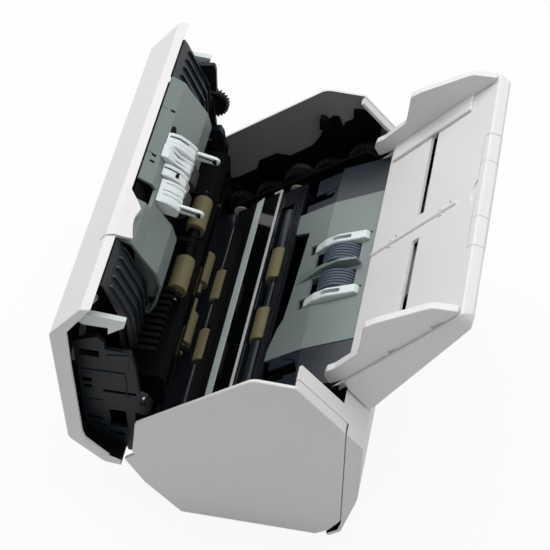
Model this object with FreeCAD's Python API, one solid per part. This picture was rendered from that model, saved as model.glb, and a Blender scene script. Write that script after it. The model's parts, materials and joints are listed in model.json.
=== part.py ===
import FreeCAD, Part
import math
import os

# Sheet fed document scanner with its document feeder cover open. Millimetres.
# X runs across the machine, -Y is the front where the cover opens, +Y is the rear
# with the input chute, +Z is up. Outlines are (y, z) pairs drawn across the machine.
# The paper path slopes up to the rear; places on it are given along it and above
# the sheet. Pieces of the cover are drawn shut and then swung open.

# ---------------------------------------------------------------- clearances
SEAT = 0.3
SHUT_LINE = 0.4
BEARING_GAP = 0.05
NIP_GAP = 0.3

# ---------------------------------------------------------------- across the machine
PAPER_X = -5.0
PATH_HALF = 108.0
FRAME_GAP = 5.0
FRAME_THICK = 3.0
FRAME_INNER = PATH_HALF + FRAME_GAP
FRAME_OUTER = FRAME_INNER + FRAME_THICK
GEAR_LANE = 4.5
GEAR_WIDE = 6.0
BELT_STEP = 1.1
BELT_LANE = 4.9
WALL_ROOM = 3.0
WALL = 2.5
GEAR_RIGHT = PAPER_X - FRAME_OUTER - GEAR_LANE
GEAR_LEFT = GEAR_RIGHT - GEAR_WIDE
BELT_RIGHT = GEAR_LEFT - BELT_STEP
BELT_LEFT = BELT_RIGHT - BELT_LANE
HALF_WIDTH = WALL_ROOM + WALL - BELT_LEFT
CASE_INNER = HALF_WIDTH - WALL

# ---------------------------------------------------------------- outer case
PANEL_FRONT = [(43.7, 0.0), (18.3, 28.9, 6.0), (5.0, 52.4), (6.2, 54.0), (12.1, 59.1), (10.9, 63.4, 2.0)]
PANEL_TOP = [(14.1, 94.5, 4.0), (95.0, 160.5, 12.0), (124.0, 159.5, 1.0), (158.0, 121.0, 6.0)]
PANEL_REAR = [(158.0, 20.0, 8.0), (149.8, 6.6, 6.0), (140.7, 0.0, 3.0)]
PANEL_EDGE = 0.9
SLOPE_STRIP = 8.5
SILL_WIDE = 5.0
SILL_LOW = 0.6
REAR_SKIN = [(124.3, 159.0), (170.0, 107.0, 4.0), (169.0, 50.0, 60.0), (158.4, 8.0, 4.0), (150.0, 1.0)]
THROAT_LEFT_REST = 9.5
THROAT_RIGHT_REST = 20.8
FOOT_HEIGHT = 2.0
FOOT_RADIUS = 7.0
FOOT_INSET = 23.0
FOOT_SINK = 0.2
PAN_FLOOR = (0.2, 3.0)
PAN_INSET = 7.8
PAN_FRONT = 44.2
PAN_REAR = 148.0
CHIN_LINE = [(17.3, 31.6), (18.9, 29.2, 2.0), (44.6, 0.2)]
CHIN_SIDE_LINE = [(12.5, 40.3), (18.9, 29.2, 6.0), (44.6, 0.2)]

# ---------------------------------------------------------------- paper path
PATH_START = (31.4, 45.3)
PATH_ANGLE = 38.0
DECK_DROP = 1.4
DECK_THICK = 2.0
EXIT_DECK_START = 2.6
SCAN_START = 14.0
SCAN_END = 46.4
SCAN_DEPTH = 22.0
STRIP_START = 20.8
STRIP_END = 26.7
GLASS_START = 27.0
GLASS_END = 42.6
RAIL_START = 43.4
RAIL_END = 45.2
FEED_DECK_START = 46.8
FEED_DECK_END = 71.0
GUIDE_START = 76.0
GUIDE_END = 147.0
GUIDE_BEND = 104.0
GUIDE_FALL = 0.149
GUIDE_THICK = 2.2
GUIDE_HALF = 72.0
WING_STEP_HALF = 92.0

# ---------------------------------------------------------------- driven rollers of the base
ROLLER_X = 30.0
ROLLER_LENGTH = 30.0
ROLLER_ROOM = 0.8
SHAFT_RADIUS = 3.0
BUSH_RADIUS = 5.0
FEED_AT = (55.5, -7.6)
FEED_RADIUS = 7.6
EXIT_AT = (0.0, -6.0)
EXIT_RADIUS = 6.0
PICK_AT = (117.0, -15.5)
PICK_RADIUS = 18.0
PICK_X = 13.0
PICK_LENGTH = 16.0
SLEEVE_RADIUS = 3.9
END_SLEEVE_RADIUS = 5.6
FLAP_X = 26.5
FLAP_WIDTH = 8.4
FLAP_START = 92.0
FLAP_END = 141.0
FLAP_PIVOT = (138.0, -8.2)
FLAP_PIN_RADIUS = 1.25
PRONG_WIDE = 2.4
PRONG_SLOT = 3.4

# ---------------------------------------------------------------- gears, belt and motor
TOOTH = 1.8
FEED_GEAR = (12.5, 24)
EXIT_GEAR = (11.6, 22)
PICK_GEAR = (17.2, 34)
IDLER_GEAR = (15.9, 30)
IDLER_FRONT_AT = (27.0, -13.0)
IDLER_REAR_AT = (83.6, -14.0)
IDLER_PIN_RADIUS = 2.0
MOTOR_AT = (112.0, 36.0)
MOTOR_RADIUS = 17.0
MOTOR_LENGTH = 32.0
MOTOR_SHAFT_RADIUS = 2.5
PULLEY_RADIUS = 6.0
FEED_PULLEY_RADIUS = 9.0
BELT_THICK = 1.1
BELT_GAP = 0.35

# ---------------------------------------------------------------- boards and sockets
BOARD_HALF = 96.0
BOARD_FRONT = 150.6
BOARD_REAR = 152.2
BOARD_LOW = 14.0
BOARD_HIGH = 92.0
POWER_X = 70.0
DATA_X = 40.0
SOCKET_Z = 34.0
SOCKET_HALF = 5.6
SOCKET_REAR = 163.6

# ---------------------------------------------------------------- document feeder cover
COVER_HINGE = (16.3, 49.8)
COVER_OPEN = 53.4
HINGE_PIN_RADIUS = 3.0
HINGE_EYE_RADIUS = 8.0
PLATE_THICK = 3.4
RIGHT_PLATE_REST = 16.0
LEFT_PLATE_REST = 12.8
COVER_SKIN = [(3.3, 57.9), (-2.75, 68.4, 5.0), (0.4, 101.0, 8.0), (84.5, 169.7, 6.0), (121.3, 168.7, 2.0),
              (126.6, 163.8)]
COVER_RIM = [(94.5, 162.2), (67.0, 140.9), (12.6, 96.9), (8.6, 91.6), (5.2, 69.5), (8.7, 62.4)]
COVER_PLATE_W = 22.0
TRAY_THICK = 2.4
TRAY_END = 108.0
PINCH_AT = (58.0, 7.3)
PINCH_RADIUS = 7.2
PINCH_HALF = 54.0
PINCH_SHAFT_RADIUS = 2.5
EXIT_PINCH_AT = (0.0, 6.3)
EXIT_PINCH_RADIUS = 6.0
BRAKE_RADIUS = 7.0
BRAKE_LENGTH = 15.0
BRAKE_ALONG = 112.5
GUIDE_FACE = [(145.4, 34.2), (140.0, 24.5, 3.0), (130.0, 19.5, 2.0), (113.0, 9.5, 6.0), (100.0, 7.0, 8.0),
              (82.0, 12.0, 4.0), (72.0, 17.5), (72.0, 21.7)]
GUIDE_LEFT_EDGE = 81.0
GUIDE_LEFT_INNER = 33.0
GUIDE_RIGHT_INNER = 34.0
GUIDE_RIGHT_EDGE = 80.0
RIBBED_HALF = 121.5
RIB_FIRST = 83.0
RIB_PITCH = 8.5
RIB_COUNT = 5
COVER_GEAR_AT = (80.0, 17.6)
LATCH_AT = (97.5, 156.6)
LATCH_RADIUS = 2.5
HOOK_LINE = [(93.6, 160.6, 2.0), (101.0, 161.4, 2.0), (106.9, 152.4), (118.0, 134.8, 1.0),
             (112.1, 132.2, 1.0),
             (98.2, 136.1), (103.6, 139.4), (93.4, 153.4, 2.0)]
GUARD_THICK = 1.5
CATCH_LINE = [(92.0, 126.0), (101.0, 126.0), (99.4, 132.0), (97.0, 136.2, 1.0), (92.0, 137.0, 1.0)]
TAB_LEFT = 33.2
TAB_RIGHT = 76.0
BUTTON_XS = (92.0, 112.0)
BUTTON_RADIUS = 5.0
BUTTON_AT = (44.0, 137.0)
BUTTON_NORMAL = 129.2

# ---------------------------------------------------------------- input chute
CHUTE_FOOT = (151.1, 134.3)
CHUTE_ANGLE = 49.7
CHUTE_MARGIN = 8.3
CHUTE_HALF = PATH_HALF + CHUTE_MARGIN
CHUTE_LENGTH = 112.4
CHUTE_SKIN = 2.6
CHUTE_CORNER = 9.0
CHUTE_END_BAR = 9.0
GUIDE_WALL_OUT = CHUTE_HALF - 2.3
GUIDE_WALL_IN = GUIDE_WALL_OUT - 5.5
GUIDE_FOOT_WIDE = 15.4
GUIDE_POST_WIDE = 4.6
GUIDE_POST_IN = GUIDE_WALL_IN - 15.1
GUIDE_TRAVEL = 75.0
GUIDE_LINE = [(-8.0, 2.25), (-12.0, 3.3, 1.5), (-9.0, 11.0, 3.0), (-4.0, 13.5, 3.0), (3.0, 12.3, 4.0),
              (27.0, 13.2, 8.0), (38.0, 21.0, 10.0), (48.0, 28.4, 5.0), (58.0, 26.8, 6.0), (93.0, 16.5, 8.0),
              (98.0, 14.6, 6.0), (107.0, 4.4, 4.0), (109.0, 2.2, 1.0), (106.0, 0.3), (0.0, 0.3)]
SLOT_AT = 47.5
SLOT_WIDE = 7.0
PINION_RADIUS = 5.6
PINION_PIN_RADIUS = 1.5
RACK_LOW = -6.4
RACK_HIGH = -3.3
RACK_PITCH = 2.6
EXTENSION_HALF = 53.0
EXTENSION_TIP_HALF = 26.2
TRAY_LOW = -9.6
TRAY_HIGH = -7.8


# ================================================================ drawing helpers

def turned(point, centre, degrees):
    """A (y, z) point turned about another one, from +Y towards +Z."""
    angle = math.radians(degrees)
    y = point[0] - centre[0]
    z = point[1] - centre[1]
    turned_y = y * math.cos(angle) - z * math.sin(angle)
    turned_z = y * math.sin(angle) + z * math.cos(angle)
    return (centre[0] + turned_y, centre[1] + turned_z)


def in_plane(origin, degrees, along, above):
    """The (y, z) point that lies along and above a sloping line."""
    angle = math.radians(degrees)
    y = origin[0] + along * math.cos(angle) - above * math.sin(angle)
    z = origin[1] + along * math.sin(angle) + above * math.cos(angle)
    return (y, z)


def path(along, above):
    """A point given along the paper path and above the sheet."""
    return in_plane(PATH_START, PATH_ANGLE, along, above)


def chute(along, above):
    """A point given up the chute and above its paper face."""
    return in_plane(CHUTE_FOOT, CHUTE_ANGLE, along, above)


def placed(points, place):
    """Points of a sloping frame as (y, z), with any corner radius carried along."""
    result = []
    for point in points:
        spot = place(point[0], point[1])
        if len(point) > 2:
            spot = spot + (point[2],)
        result.append(spot)
    return result


def corner(before, point, after):
    """The two ends and the middle of the arc that rounds one corner."""
    radius = point[2]
    here = FreeCAD.Vector(point[0], point[1], 0)
    back = FreeCAD.Vector(before[0], before[1], 0).sub(here)
    ahead = FreeCAD.Vector(after[0], after[1], 0).sub(here)
    back.normalize()
    ahead.normalize()
    half_angle = back.getAngle(ahead) / 2
    reach = radius / math.tan(half_angle)
    first = here.add(back * reach)
    last = here.add(ahead * reach)
    middle_way = back.add(ahead)
    middle_way.normalize()
    depth = radius / math.sin(half_angle) - radius
    middle = here.add(middle_way * depth)
    return first, middle, last


def outline(points, x):
    """A closed outline at x; a third number on a point rounds that corner."""
    stops = []
    count = len(points)
    for index in range(count):
        point = points[index]
        if len(point) > 2 and point[2] > 0:
            stops.append(corner(points[index - 1], point, points[(index + 1) % count]))
        else:
            spot = FreeCAD.Vector(point[0], point[1], 0)
            stops.append((spot, spot, spot))
    edges = []
    for index in range(count):
        first, middle, last = stops[index]
        following = stops[(index + 1) % count][0]
        if first.distanceToPoint(last) > 0.001:
            arc = Part.Arc(standing(first, x), standing(middle, x), standing(last, x))
            edges.append(arc.toShape())
        if last.distanceToPoint(following) > 0.001:
            edges.append(Part.makeLine(standing(last, x), standing(following, x)))
    return Part.Wire(edges)


def standing(spot, x):
    """A flat (y, z) spot stood up at x."""
    return FreeCAD.Vector(x, spot.x, spot.y)


def prism(points, left, right):
    """A solid with one outline all the way from left to right across the machine."""
    face = Part.Face(outline(points, left))
    return face.extrude(FreeCAD.Vector(right - left, 0, 0))


def offset_line(points, distance):
    """The same bent line moved sideways, to the left of its direction when positive."""
    result = []
    count = len(points)
    for index in range(count):
        here = points[index]
        normals = []
        if index > 0:
            normals.append(left_normal(points[index - 1], here))
        if index < count - 1:
            normals.append(left_normal(here, points[index + 1]))
        if len(normals) == 1:
            shift = (normals[0][0] * distance, normals[0][1] * distance)
        else:
            sum_y = normals[0][0] + normals[1][0]
            sum_z = normals[0][1] + normals[1][1]
            scale = 2 * distance / (sum_y * sum_y + sum_z * sum_z)
            shift = (sum_y * scale, sum_z * scale)
        moved = (here[0] + shift[0], here[1] + shift[1])
        if len(here) > 2 and len(normals) == 2:
            turn = normals[0][0] * normals[1][1] - normals[0][1] * normals[1][0]
            radius = here[2] - distance * math.copysign(1, turn)
            moved = moved + (max(radius, 0.0),)
        result.append(moved)
    return result


def left_normal(start, end):
    """The unit normal on the left of a line."""
    y = end[0] - start[0]
    z = end[1] - start[1]
    length = math.hypot(y, z)
    return (-z / length, y / length)


def sheet(points, thick, left, right):
    """A bent sheet of even thickness that follows an open line."""
    far_side = offset_line(points, thick)
    far_side.reverse()
    return prism(list(points) + far_side, left, right)


def block(left, right, front, back, low, high):
    """An upright block."""
    size = FreeCAD.Vector(right - left, back - front, high - low)
    return Part.makeBox(size.x, size.y, size.z, FreeCAD.Vector(left, front, low))


def path_block(left, right, start, end, low, high):
    """A block that lies along the paper path."""
    corners = [(start, low), (end, low), (end, high), (start, high)]
    return prism(placed(corners, path), left, right)


def chute_block(left, right, start, end, low, high):
    """A block that lies along the chute."""
    corners = [(start, low), (end, low), (end, high), (start, high)]
    return prism(placed(corners, chute), left, right)


def path_slab(points, low, high):
    """A solid with an outline of (x, along) points, from one height over the sheet to another."""
    corners = []
    for x, along in points:
        y, z = path(along, low)
        corners.append(FreeCAD.Vector(x, y, z))
    rise = standing_way(high - low)
    return Part.Face(Part.makePolygon(corners + corners[:1])).extrude(rise)


def path_curtain(points, start, end):
    """A solid with an outline of (x, above) points, from one place along the path to another."""
    corners = []
    for x, above in points:
        y, z = path(start, above)
        corners.append(FreeCAD.Vector(x, y, z))
    angle = math.radians(PATH_ANGLE)
    way = FreeCAD.Vector(0, math.cos(angle), math.sin(angle)) * (end - start)
    return Part.Face(Part.makePolygon(corners + corners[:1])).extrude(way)


def standing_way(height):
    """The way square to the paper path, of one height."""
    angle = math.radians(PATH_ANGLE)
    return FreeCAD.Vector(0, -math.sin(angle), math.cos(angle)) * height


def rod(spot, radius, left, right):
    """A round bar across the machine."""
    base = FreeCAD.Vector(left, spot[0], spot[1])
    return Part.makeCylinder(radius, right - left, base, FreeCAD.Vector(1, 0, 0))


def tube(spot, radius, bore, left, right):
    """A round bar with a bore through it."""
    return rod(spot, radius, left, right).cut(rod(spot, bore, left - 1, right + 1))


def rod_up(x, y, low, high, radius):
    """An upright round post."""
    return Part.makeCylinder(radius, high - low, FreeCAD.Vector(x, y, low))


def joined(shapes):
    """One solid out of several touching ones."""
    first = shapes[0]
    result = first.fuse(shapes[1:]) if len(shapes) > 1 else first
    return result.removeSplitter()


def less(shape, cutters):
    """A shape with others cut out of it."""
    return shape.cut(joined(cutters)) if len(cutters) > 1 else shape.cut(cutters[0])


def group(shapes):
    """Loose solids that share one node."""
    return Part.makeCompound(shapes)


def opened(shape):
    """A piece of the cover, drawn shut, swung to where the open cover holds it."""
    swung = shape.copy()
    centre = FreeCAD.Vector(0, COVER_HINGE[0], COVER_HINGE[1])
    swung.rotate(centre, FreeCAD.Vector(1, 0, 0), COVER_OPEN)
    return swung


def mirrored_x(offset):
    """The places left and right of the middle of the paper."""
    return (PAPER_X - offset, PAPER_X + offset)


def between(side, first, second):
    """The left and right ends of a stretch given outwards from the middle of the machine."""
    ends = (side * first, side * second)
    return min(ends), max(ends)


def about_paper(side, first, second):
    """The left and right ends of a stretch given outwards from the middle of the paper."""
    left, right = between(side, first, second)
    return PAPER_X + left, PAPER_X + right


def gear(spot, root, tip, teeth, left, right, bore):
    """A toothed wheel on a cross shaft."""
    points = []
    for index in range(teeth):
        for part, radius in ((0.0, root), (0.28, tip), (0.5, tip), (0.78, root)):
            angle = 2 * math.pi * (index + part) / teeth
            y = spot[0] + radius * math.cos(angle)
            z = spot[1] + radius * math.sin(angle)
            points.append((y, z))
    wheel = prism(points, left, right)
    return wheel.cut(rod(spot, bore, left - 1, right + 1))


def softened(shape, x, radius):
    """The shape with the edges that lie in one upright plane rounded."""
    edges = []
    for edge in shape.Edges:
        box = edge.BoundBox
        if abs(box.XMin - x) < 0.01 and abs(box.XMax - x) < 0.01:
            edges.append(edge)
    return shape.makeFillet(radius, edges)

# ================================================================ outer case
def side_cover(side):
    """One flat side of the case with a turned in strip along its rear slope."""
    points = PANEL_FRONT + PANEL_TOP + PANEL_REAR
    left, right = between(side, CASE_INNER, HALF_WIDTH)
    plate = prism(points, left, right)
    strip_left, strip_right = between(side, HALF_WIDTH - SLOPE_STRIP, CASE_INNER)
    strip_line = [(124.4, 158.6), (157.6, 121.0, 4.0), (157.6, 112.0)]
    strip = sheet(strip_line, -WALL, strip_left, strip_right)
    sill_left, sill_right = between(side, CASE_INNER - SILL_WIDE, CASE_INNER)
    sill = sheet([(48.0, SILL_LOW), (140.0, SILL_LOW)], WALL, sill_left, sill_right)
    shell = joined([plate, strip, sill])
    return softened(shell, side * HALF_WIDTH, PANEL_EDGE)


def rear_cover():
    """The rear of the case with the wide opening that takes the chute."""
    skin = sheet(REAR_SKIN, -WALL, -HALF_WIDTH, HALF_WIDTH)
    end_points = [(158.4, 120.4), REAR_SKIN[1], REAR_SKIN[2], (158.4, 8.0)]
    cuts = []
    ends = []
    for side in (-1, 1):
        end_left, end_right = between(side, CASE_INNER, HALF_WIDTH)
        ends.append(prism(end_points, end_left, end_right))
        strip_left, strip_right = between(side, HALF_WIDTH - SLOPE_STRIP - SHUT_LINE, HALF_WIDTH + 1)
        strip_room = [(118, 166), (118, 140), (150, 100), (158.4, 90), (158.4, 121.7)]
        cuts.append(prism(strip_room, strip_left, strip_right))
    throat = [(110, 175), (110, 140), (140, 112), (153.0, 126.0), (165, 140)]
    cuts.append(prism(throat, THROAT_LEFT_REST - HALF_WIDTH, HALF_WIDTH - THROAT_RIGHT_REST))
    for x in (POWER_X, DATA_X):
        half = SOCKET_HALF + 0.6
        cuts.append(block(x - half, x + half, 150, 180, SOCKET_Z - half, SOCKET_Z + half))
    return less(joined([skin] + ends), cuts)


def base_pan():
    """The floor of the case with its front chin and the low walls beside it."""
    floor_half = HALF_WIDTH - PAN_INSET
    floor = block(-floor_half, floor_half, PAN_FRONT, PAN_REAR, PAN_FLOOR[0], PAN_FLOOR[1])
    chin_left = PAPER_X - PATH_HALF - 1.0
    chin_right = PAPER_X + FRAME_INNER
    chin = sheet(CHIN_LINE, WALL, chin_left, chin_right)
    walls = []
    for left, right in ((SEAT - CASE_INNER, chin_left), (chin_right, CASE_INNER - SEAT)):
        walls.append(sheet(CHIN_SIDE_LINE, WALL, left, right))
    rear_lip = block(-floor_half + 1.2, floor_half - 1.2, PAN_REAR - WALL, PAN_REAR, PAN_FLOOR[1], 12.0)
    posts = []
    for x in (PAPER_X - 99.0, PAPER_X + 99.0):
        for y in (58.0, 134.0):
            posts.append(rod_up(x, y, PAN_FLOOR[1], 9.0, 4.0))
    return joined([floor, chin, rear_lip] + walls + posts)


def rubber_feet():
    """Four round feet under the floor."""
    feet = []
    for x in (FOOT_INSET - HALF_WIDTH, HALF_WIDTH - FOOT_INSET):
        for y in (62.0, 132.0):
            foot = rod_up(x, y, -FOOT_HEIGHT, FOOT_SINK, FOOT_RADIUS)
            rim = [edge for edge in foot.Edges if abs(edge.BoundBox.ZMax + FOOT_HEIGHT) < 0.01]
            feet.append(foot.makeFillet(0.8, rim))
    return group(feet)

# ================================================================ inner frame of the base
def side_frame(side):
    """One upright plate that carries the ends of the paper path shafts."""
    left, right = about_paper(side, FRAME_INNER, FRAME_OUTER)
    top = placed([(-3.0, 1.6), (127.0, 1.6), (131.0, -6.0), (142.0, -7.0)], path)
    plate = prism(top + [(146.0, 112.0), (144.0, 3.1), (48.0, 3.1), (26.0, 34.0, 6.0)], left, right)
    cuts = []
    for spot in (FEED_AT, EXIT_AT, PICK_AT):
        cuts.append(rod(path(spot[0], spot[1]), BUSH_RADIUS, left - 1, right + 1))
    cuts.append(prism([(60, 14), (84, 14), (84, 44), (60, 34)], left - 1, right + 1))
    cuts.append(prism([(98, 14), (124, 14), (124, 52), (98, 52)], left - 1, right + 1))
    return less(plate, cuts)


def shaft_bushings():
    """Flanged bearings for the three driven shafts in both side frames."""
    bushes = []
    bore = SHAFT_RADIUS + BEARING_GAP
    for spot in (FEED_AT, EXIT_AT, PICK_AT):
        centre = path(spot[0], spot[1])
        for side in (-1, 1):
            left, right = about_paper(side, FRAME_INNER, FRAME_OUTER + 0.8)
            body = tube(centre, BUSH_RADIUS, bore, left, right)
            left, right = about_paper(side, FRAME_INNER - 1.2, FRAME_INNER)
            collar = tube(centre, BUSH_RADIUS + 1.0, bore, left, right)
            bushes.append(joined([body, collar]))
    return group(bushes)


def hinge_bracket(side):
    """A lug beside the case wall with the pin that the cover swings on."""
    plate_rest = RIGHT_PLATE_REST if side > 0 else LEFT_PLATE_REST
    inner = HALF_WIDTH - plate_rest + (2.0 if side > 0 else 6.2)
    left, right = between(side, inner, inner + PLATE_THICK)
    points = [(24.5, 29.5), (47.5, 3.3), (62.0, 3.3), (34.0, 46.0), (24.5, 50.0, 3.0), (21.0, 58.5, 4.0),
              (12.0, 58.5, 4.0), (9.4, 50.0), (16.6, 42.6)]
    plate = prism(points, left, right)
    pin_left, pin_right = between(side, HALF_WIDTH - plate_rest - PLATE_THICK - 2.0, inner)
    pin = rod(COVER_HINGE, HINGE_PIN_RADIUS, pin_left, pin_right)
    return joined([plate, pin])


def exit_guide_plate():
    """The smooth lip that the sheets leave over, above the chin."""
    line = [(31.8, 43.9), (14.2, 37.4, 1.8), (16.6, 34.3)]
    plate = sheet(line, 1.5, PAPER_X - PATH_HALF + 1.0, PAPER_X + PATH_HALF)
    cuts = []
    for x in mirrored_x(ROLLER_X):
        half = ROLLER_LENGTH / 2 + 1.2
        cuts.append(rod(path(EXIT_AT[0], EXIT_AT[1]), EXIT_RADIUS + ROLLER_ROOM, x - half, x + half))
    return less(plate, cuts)


def roller_windows(spot, radius, low, high):
    """Cutters for the places where two rollers stand up through a deck."""
    cuts = []
    reach = radius + ROLLER_ROOM
    for x in mirrored_x(ROLLER_X):
        half = ROLLER_LENGTH / 2 + 1.2
        cuts.append(path_block(x - half, x + half, spot[0] - reach, spot[0] + reach, low, high))
    return cuts


def exit_deck():
    """The strip of deck around the exit rollers."""
    left, right = PAPER_X - PATH_HALF, PAPER_X + PATH_HALF
    plate = path_block(left, right, EXIT_DECK_START, SCAN_START, -DECK_DROP - DECK_THICK, -DECK_DROP)
    cheek = path_block(left, right, SCAN_START - 2.6, SCAN_START - 0.6, -16.0, -DECK_DROP)
    return less(joined([plate, cheek]), roller_windows(EXIT_AT, EXIT_RADIUS, -9.0, 1.0))


def lower_scan_housing():
    """The trough that holds the lower image sensor across the path."""
    half = FRAME_INNER - SEAT - 0.1
    left = PAPER_X - half
    right = PAPER_X + half
    body = path_block(left, right, SCAN_START, SCAN_END, -SCAN_DEPTH, -1.8)
    inner = PATH_HALF
    recess = path_block(PAPER_X - inner, PAPER_X + inner, GLASS_START + 1.0, GLASS_END - 1.0,
                        2.0 - SCAN_DEPTH, 0.0)
    strip_seat = path_block(left - 1, right + 1, STRIP_START - 0.2, STRIP_END + 0.2, -2.8, 0.0)
    ledge = path_block(PAPER_X - inner - 2.0, PAPER_X + inner + 2.0, GLASS_START, GLASS_END, -3.2, 0.0)
    rail_seat = path_block(left - 1, right + 1, RAIL_START - 0.2, RAIL_END + 0.2, -2.8, 0.0)
    return less(body, [recess, strip_seat, ledge, rail_seat])


def lower_scan_glass():
    """The glass strip over the lower image sensor."""
    half = PATH_HALF + 2.0
    return path_block(PAPER_X - half, PAPER_X + half, GLASS_START, GLASS_END, -3.2, -1.6)


def lower_white_strip():
    """The white backing strip in front of the glass, with its slanted far end."""
    left = PAPER_X - FRAME_INNER + SEAT
    right = PAPER_X + FRAME_INNER - SEAT
    strip = path_block(left, right, STRIP_START, STRIP_END, -2.8, -1.0)
    slant = [(left - 1, STRIP_START - 1), (left - 1, STRIP_END + 1), (left, STRIP_END + 1)]
    slant.append((left + 4.6, STRIP_START - 1))
    return strip.cut(path_slab(slant, -4.0, 1.0))


def glass_rail():
    """The thin bright rail that clamps the rear edge of the glass, hooked at its far end."""
    left = PAPER_X - FRAME_INNER + SEAT
    right = PAPER_X + FRAME_INNER - SEAT
    rail = path_block(left, right, RAIL_START, RAIL_END, -2.8, -0.9)
    hook = path_block(left, left + 2.0, RAIL_START - 6.0, RAIL_END, -1.5, -0.9)
    return joined([rail, hook])


def feed_deck():
    """The dark deck around the feed rollers, with the trench that shows their sleeved shaft."""
    low = -DECK_DROP - DECK_THICK - 0.6
    plate = path_block(PAPER_X - PATH_HALF, PAPER_X + PATH_HALF, FEED_DECK_START, FEED_DECK_END, low,
                       -DECK_DROP)
    bar_at = path(FEED_DECK_START + 2.6, -3.6)
    bar = rod(bar_at, 2.6, PAPER_X - PATH_HALF + 3.0, PAPER_X + PATH_HALF - 3.0)
    cuts = roller_windows(FEED_AT, FEED_RADIUS, -12.0, 1.0)
    for start in (FEED_DECK_END - 6.6, FEED_DECK_END - 3.8):
        cuts.append(path_block(PAPER_X - 104.0, PAPER_X + 104.0, start, start + 1.2, -DECK_DROP - 1.0, 0.0))
    trench = END_SLEEVE_RADIUS + 0.6
    cuts.append(path_block(PAPER_X - 90.0, PAPER_X + 90.0, FEED_AT[0] - trench, FEED_AT[0] + trench, -12.0,
                           1.0))
    ribs = []
    for x in mirrored_x(98.0):
        ribs.append(path_block(x - 2.0, x + 2.0, FEED_DECK_END - 7.0, FEED_DECK_END, -14.0, low))
    cuts.append(rod(path(FEED_AT[0], FEED_AT[1]), SHAFT_RADIUS + 0.6, PAPER_X - FRAME_INNER,
                    PAPER_X + FRAME_INNER))
    return joined([less(joined([plate, bar]), cuts)] + ribs)


def feed_sleeves():
    """The dark sleeves on the feed shaft, beside and between its two rollers."""
    centre = path(FEED_AT[0], FEED_AT[1])
    inner_end = ROLLER_X - ROLLER_LENGTH / 2 - 0.2
    outer_start = ROLLER_X + ROLLER_LENGTH / 2 + 0.2
    sleeves = [tube(centre, SLEEVE_RADIUS, SHAFT_RADIUS, PAPER_X - inner_end, PAPER_X + inner_end)]
    for side in (-1, 1):
        left, right = about_paper(side, outer_start, outer_start + 42.0)
        sleeve = tube(centre, END_SLEEVE_RADIUS, SHAFT_RADIUS, left, right)
        ends = [edge for edge in sleeve.Edges if edge.BoundBox.XLength < 0.01]
        wide = [edge for edge in ends if edge.BoundBox.YLength > 2 * END_SLEEVE_RADIUS - 0.1]
        sleeves.append(sleeve.makeFillet(0.8, wide))
    return group(sleeves)


def guide_surface(along):
    """How far the rear deck lies under the sheet; it falls away behind its bend."""
    return -DECK_DROP - GUIDE_FALL * max(along - GUIDE_BEND, 0.0)


def rear_deck_plate(start, end, left, right, sink, thick):
    """A plate of the rear deck that follows its bend and fall towards the chute."""
    stops = [start, end]
    if start < GUIDE_BEND < end:
        stops = [start, GUIDE_BEND, end]
    top = []
    for along in stops:
        top.append((along, guide_surface(along) - sink))
    low = []
    for along, above in reversed(top):
        low.append((along, above - thick))
    return prism(placed(top + low, path), left, right)


def lower_paper_guide():
    """The middle of the rear deck, open around the pick rollers and the flaps."""
    left = PAPER_X - GUIDE_HALF
    right = PAPER_X + GUIDE_HALF
    plate = rear_deck_plate(GUIDE_START - 4.4, GUIDE_END, left, right, 0.0, GUIDE_THICK)
    front = GUIDE_START - 4.4
    outline_back = [(left - 1, GUIDE_END + 1), (left - 1, front), (left + 14.0, front),
                    (left + 20.0, front + 0.2)]
    outline_front = [(left + 23.4, GUIDE_START + 9.4), (PAPER_X - 4.0, GUIDE_START + 7.0),
                     (PAPER_X + 17.0, GUIDE_START + 5.6), (PAPER_X + 36.0, GUIDE_START + 4.0),
                     (PAPER_X + 43.0, GUIDE_START + 0.2), (right - 9.0, front)]
    plan = path_slab(outline_back + outline_front + [(right + 1, front), (right + 1, GUIDE_END + 1)], -30.0,
                     10.0)
    lip = path_block(left + 24.0, right - 1.0, GUIDE_START + 9.6, GUIDE_START + 11.6, -9.0, -DECK_DROP - 1.0)
    wall_top = guide_surface(GUIDE_END) - 1.0
    rear_wall = path_block(left, right, GUIDE_END - 9.4, GUIDE_END - 7.4, -14.4, wall_top)
    body = joined([plate.common(plan), lip, rear_wall])
    cuts = []
    for x in mirrored_x(PICK_X):
        half = PICK_LENGTH / 2 + ROLLER_ROOM
        cuts.append(path_block(x - half, x + half, PICK_AT[0] - 18.6, PICK_AT[0] + 18.6, -14.0, 3.0))
    for x in mirrored_x(FLAP_X):
        half = FLAP_WIDTH / 2 + 0.6
        cuts.append(path_block(x - half, x + half, FLAP_START - 1.4, FLAP_END + 1.2, -16.0, 3.0))
    return less(body, cuts)


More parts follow.
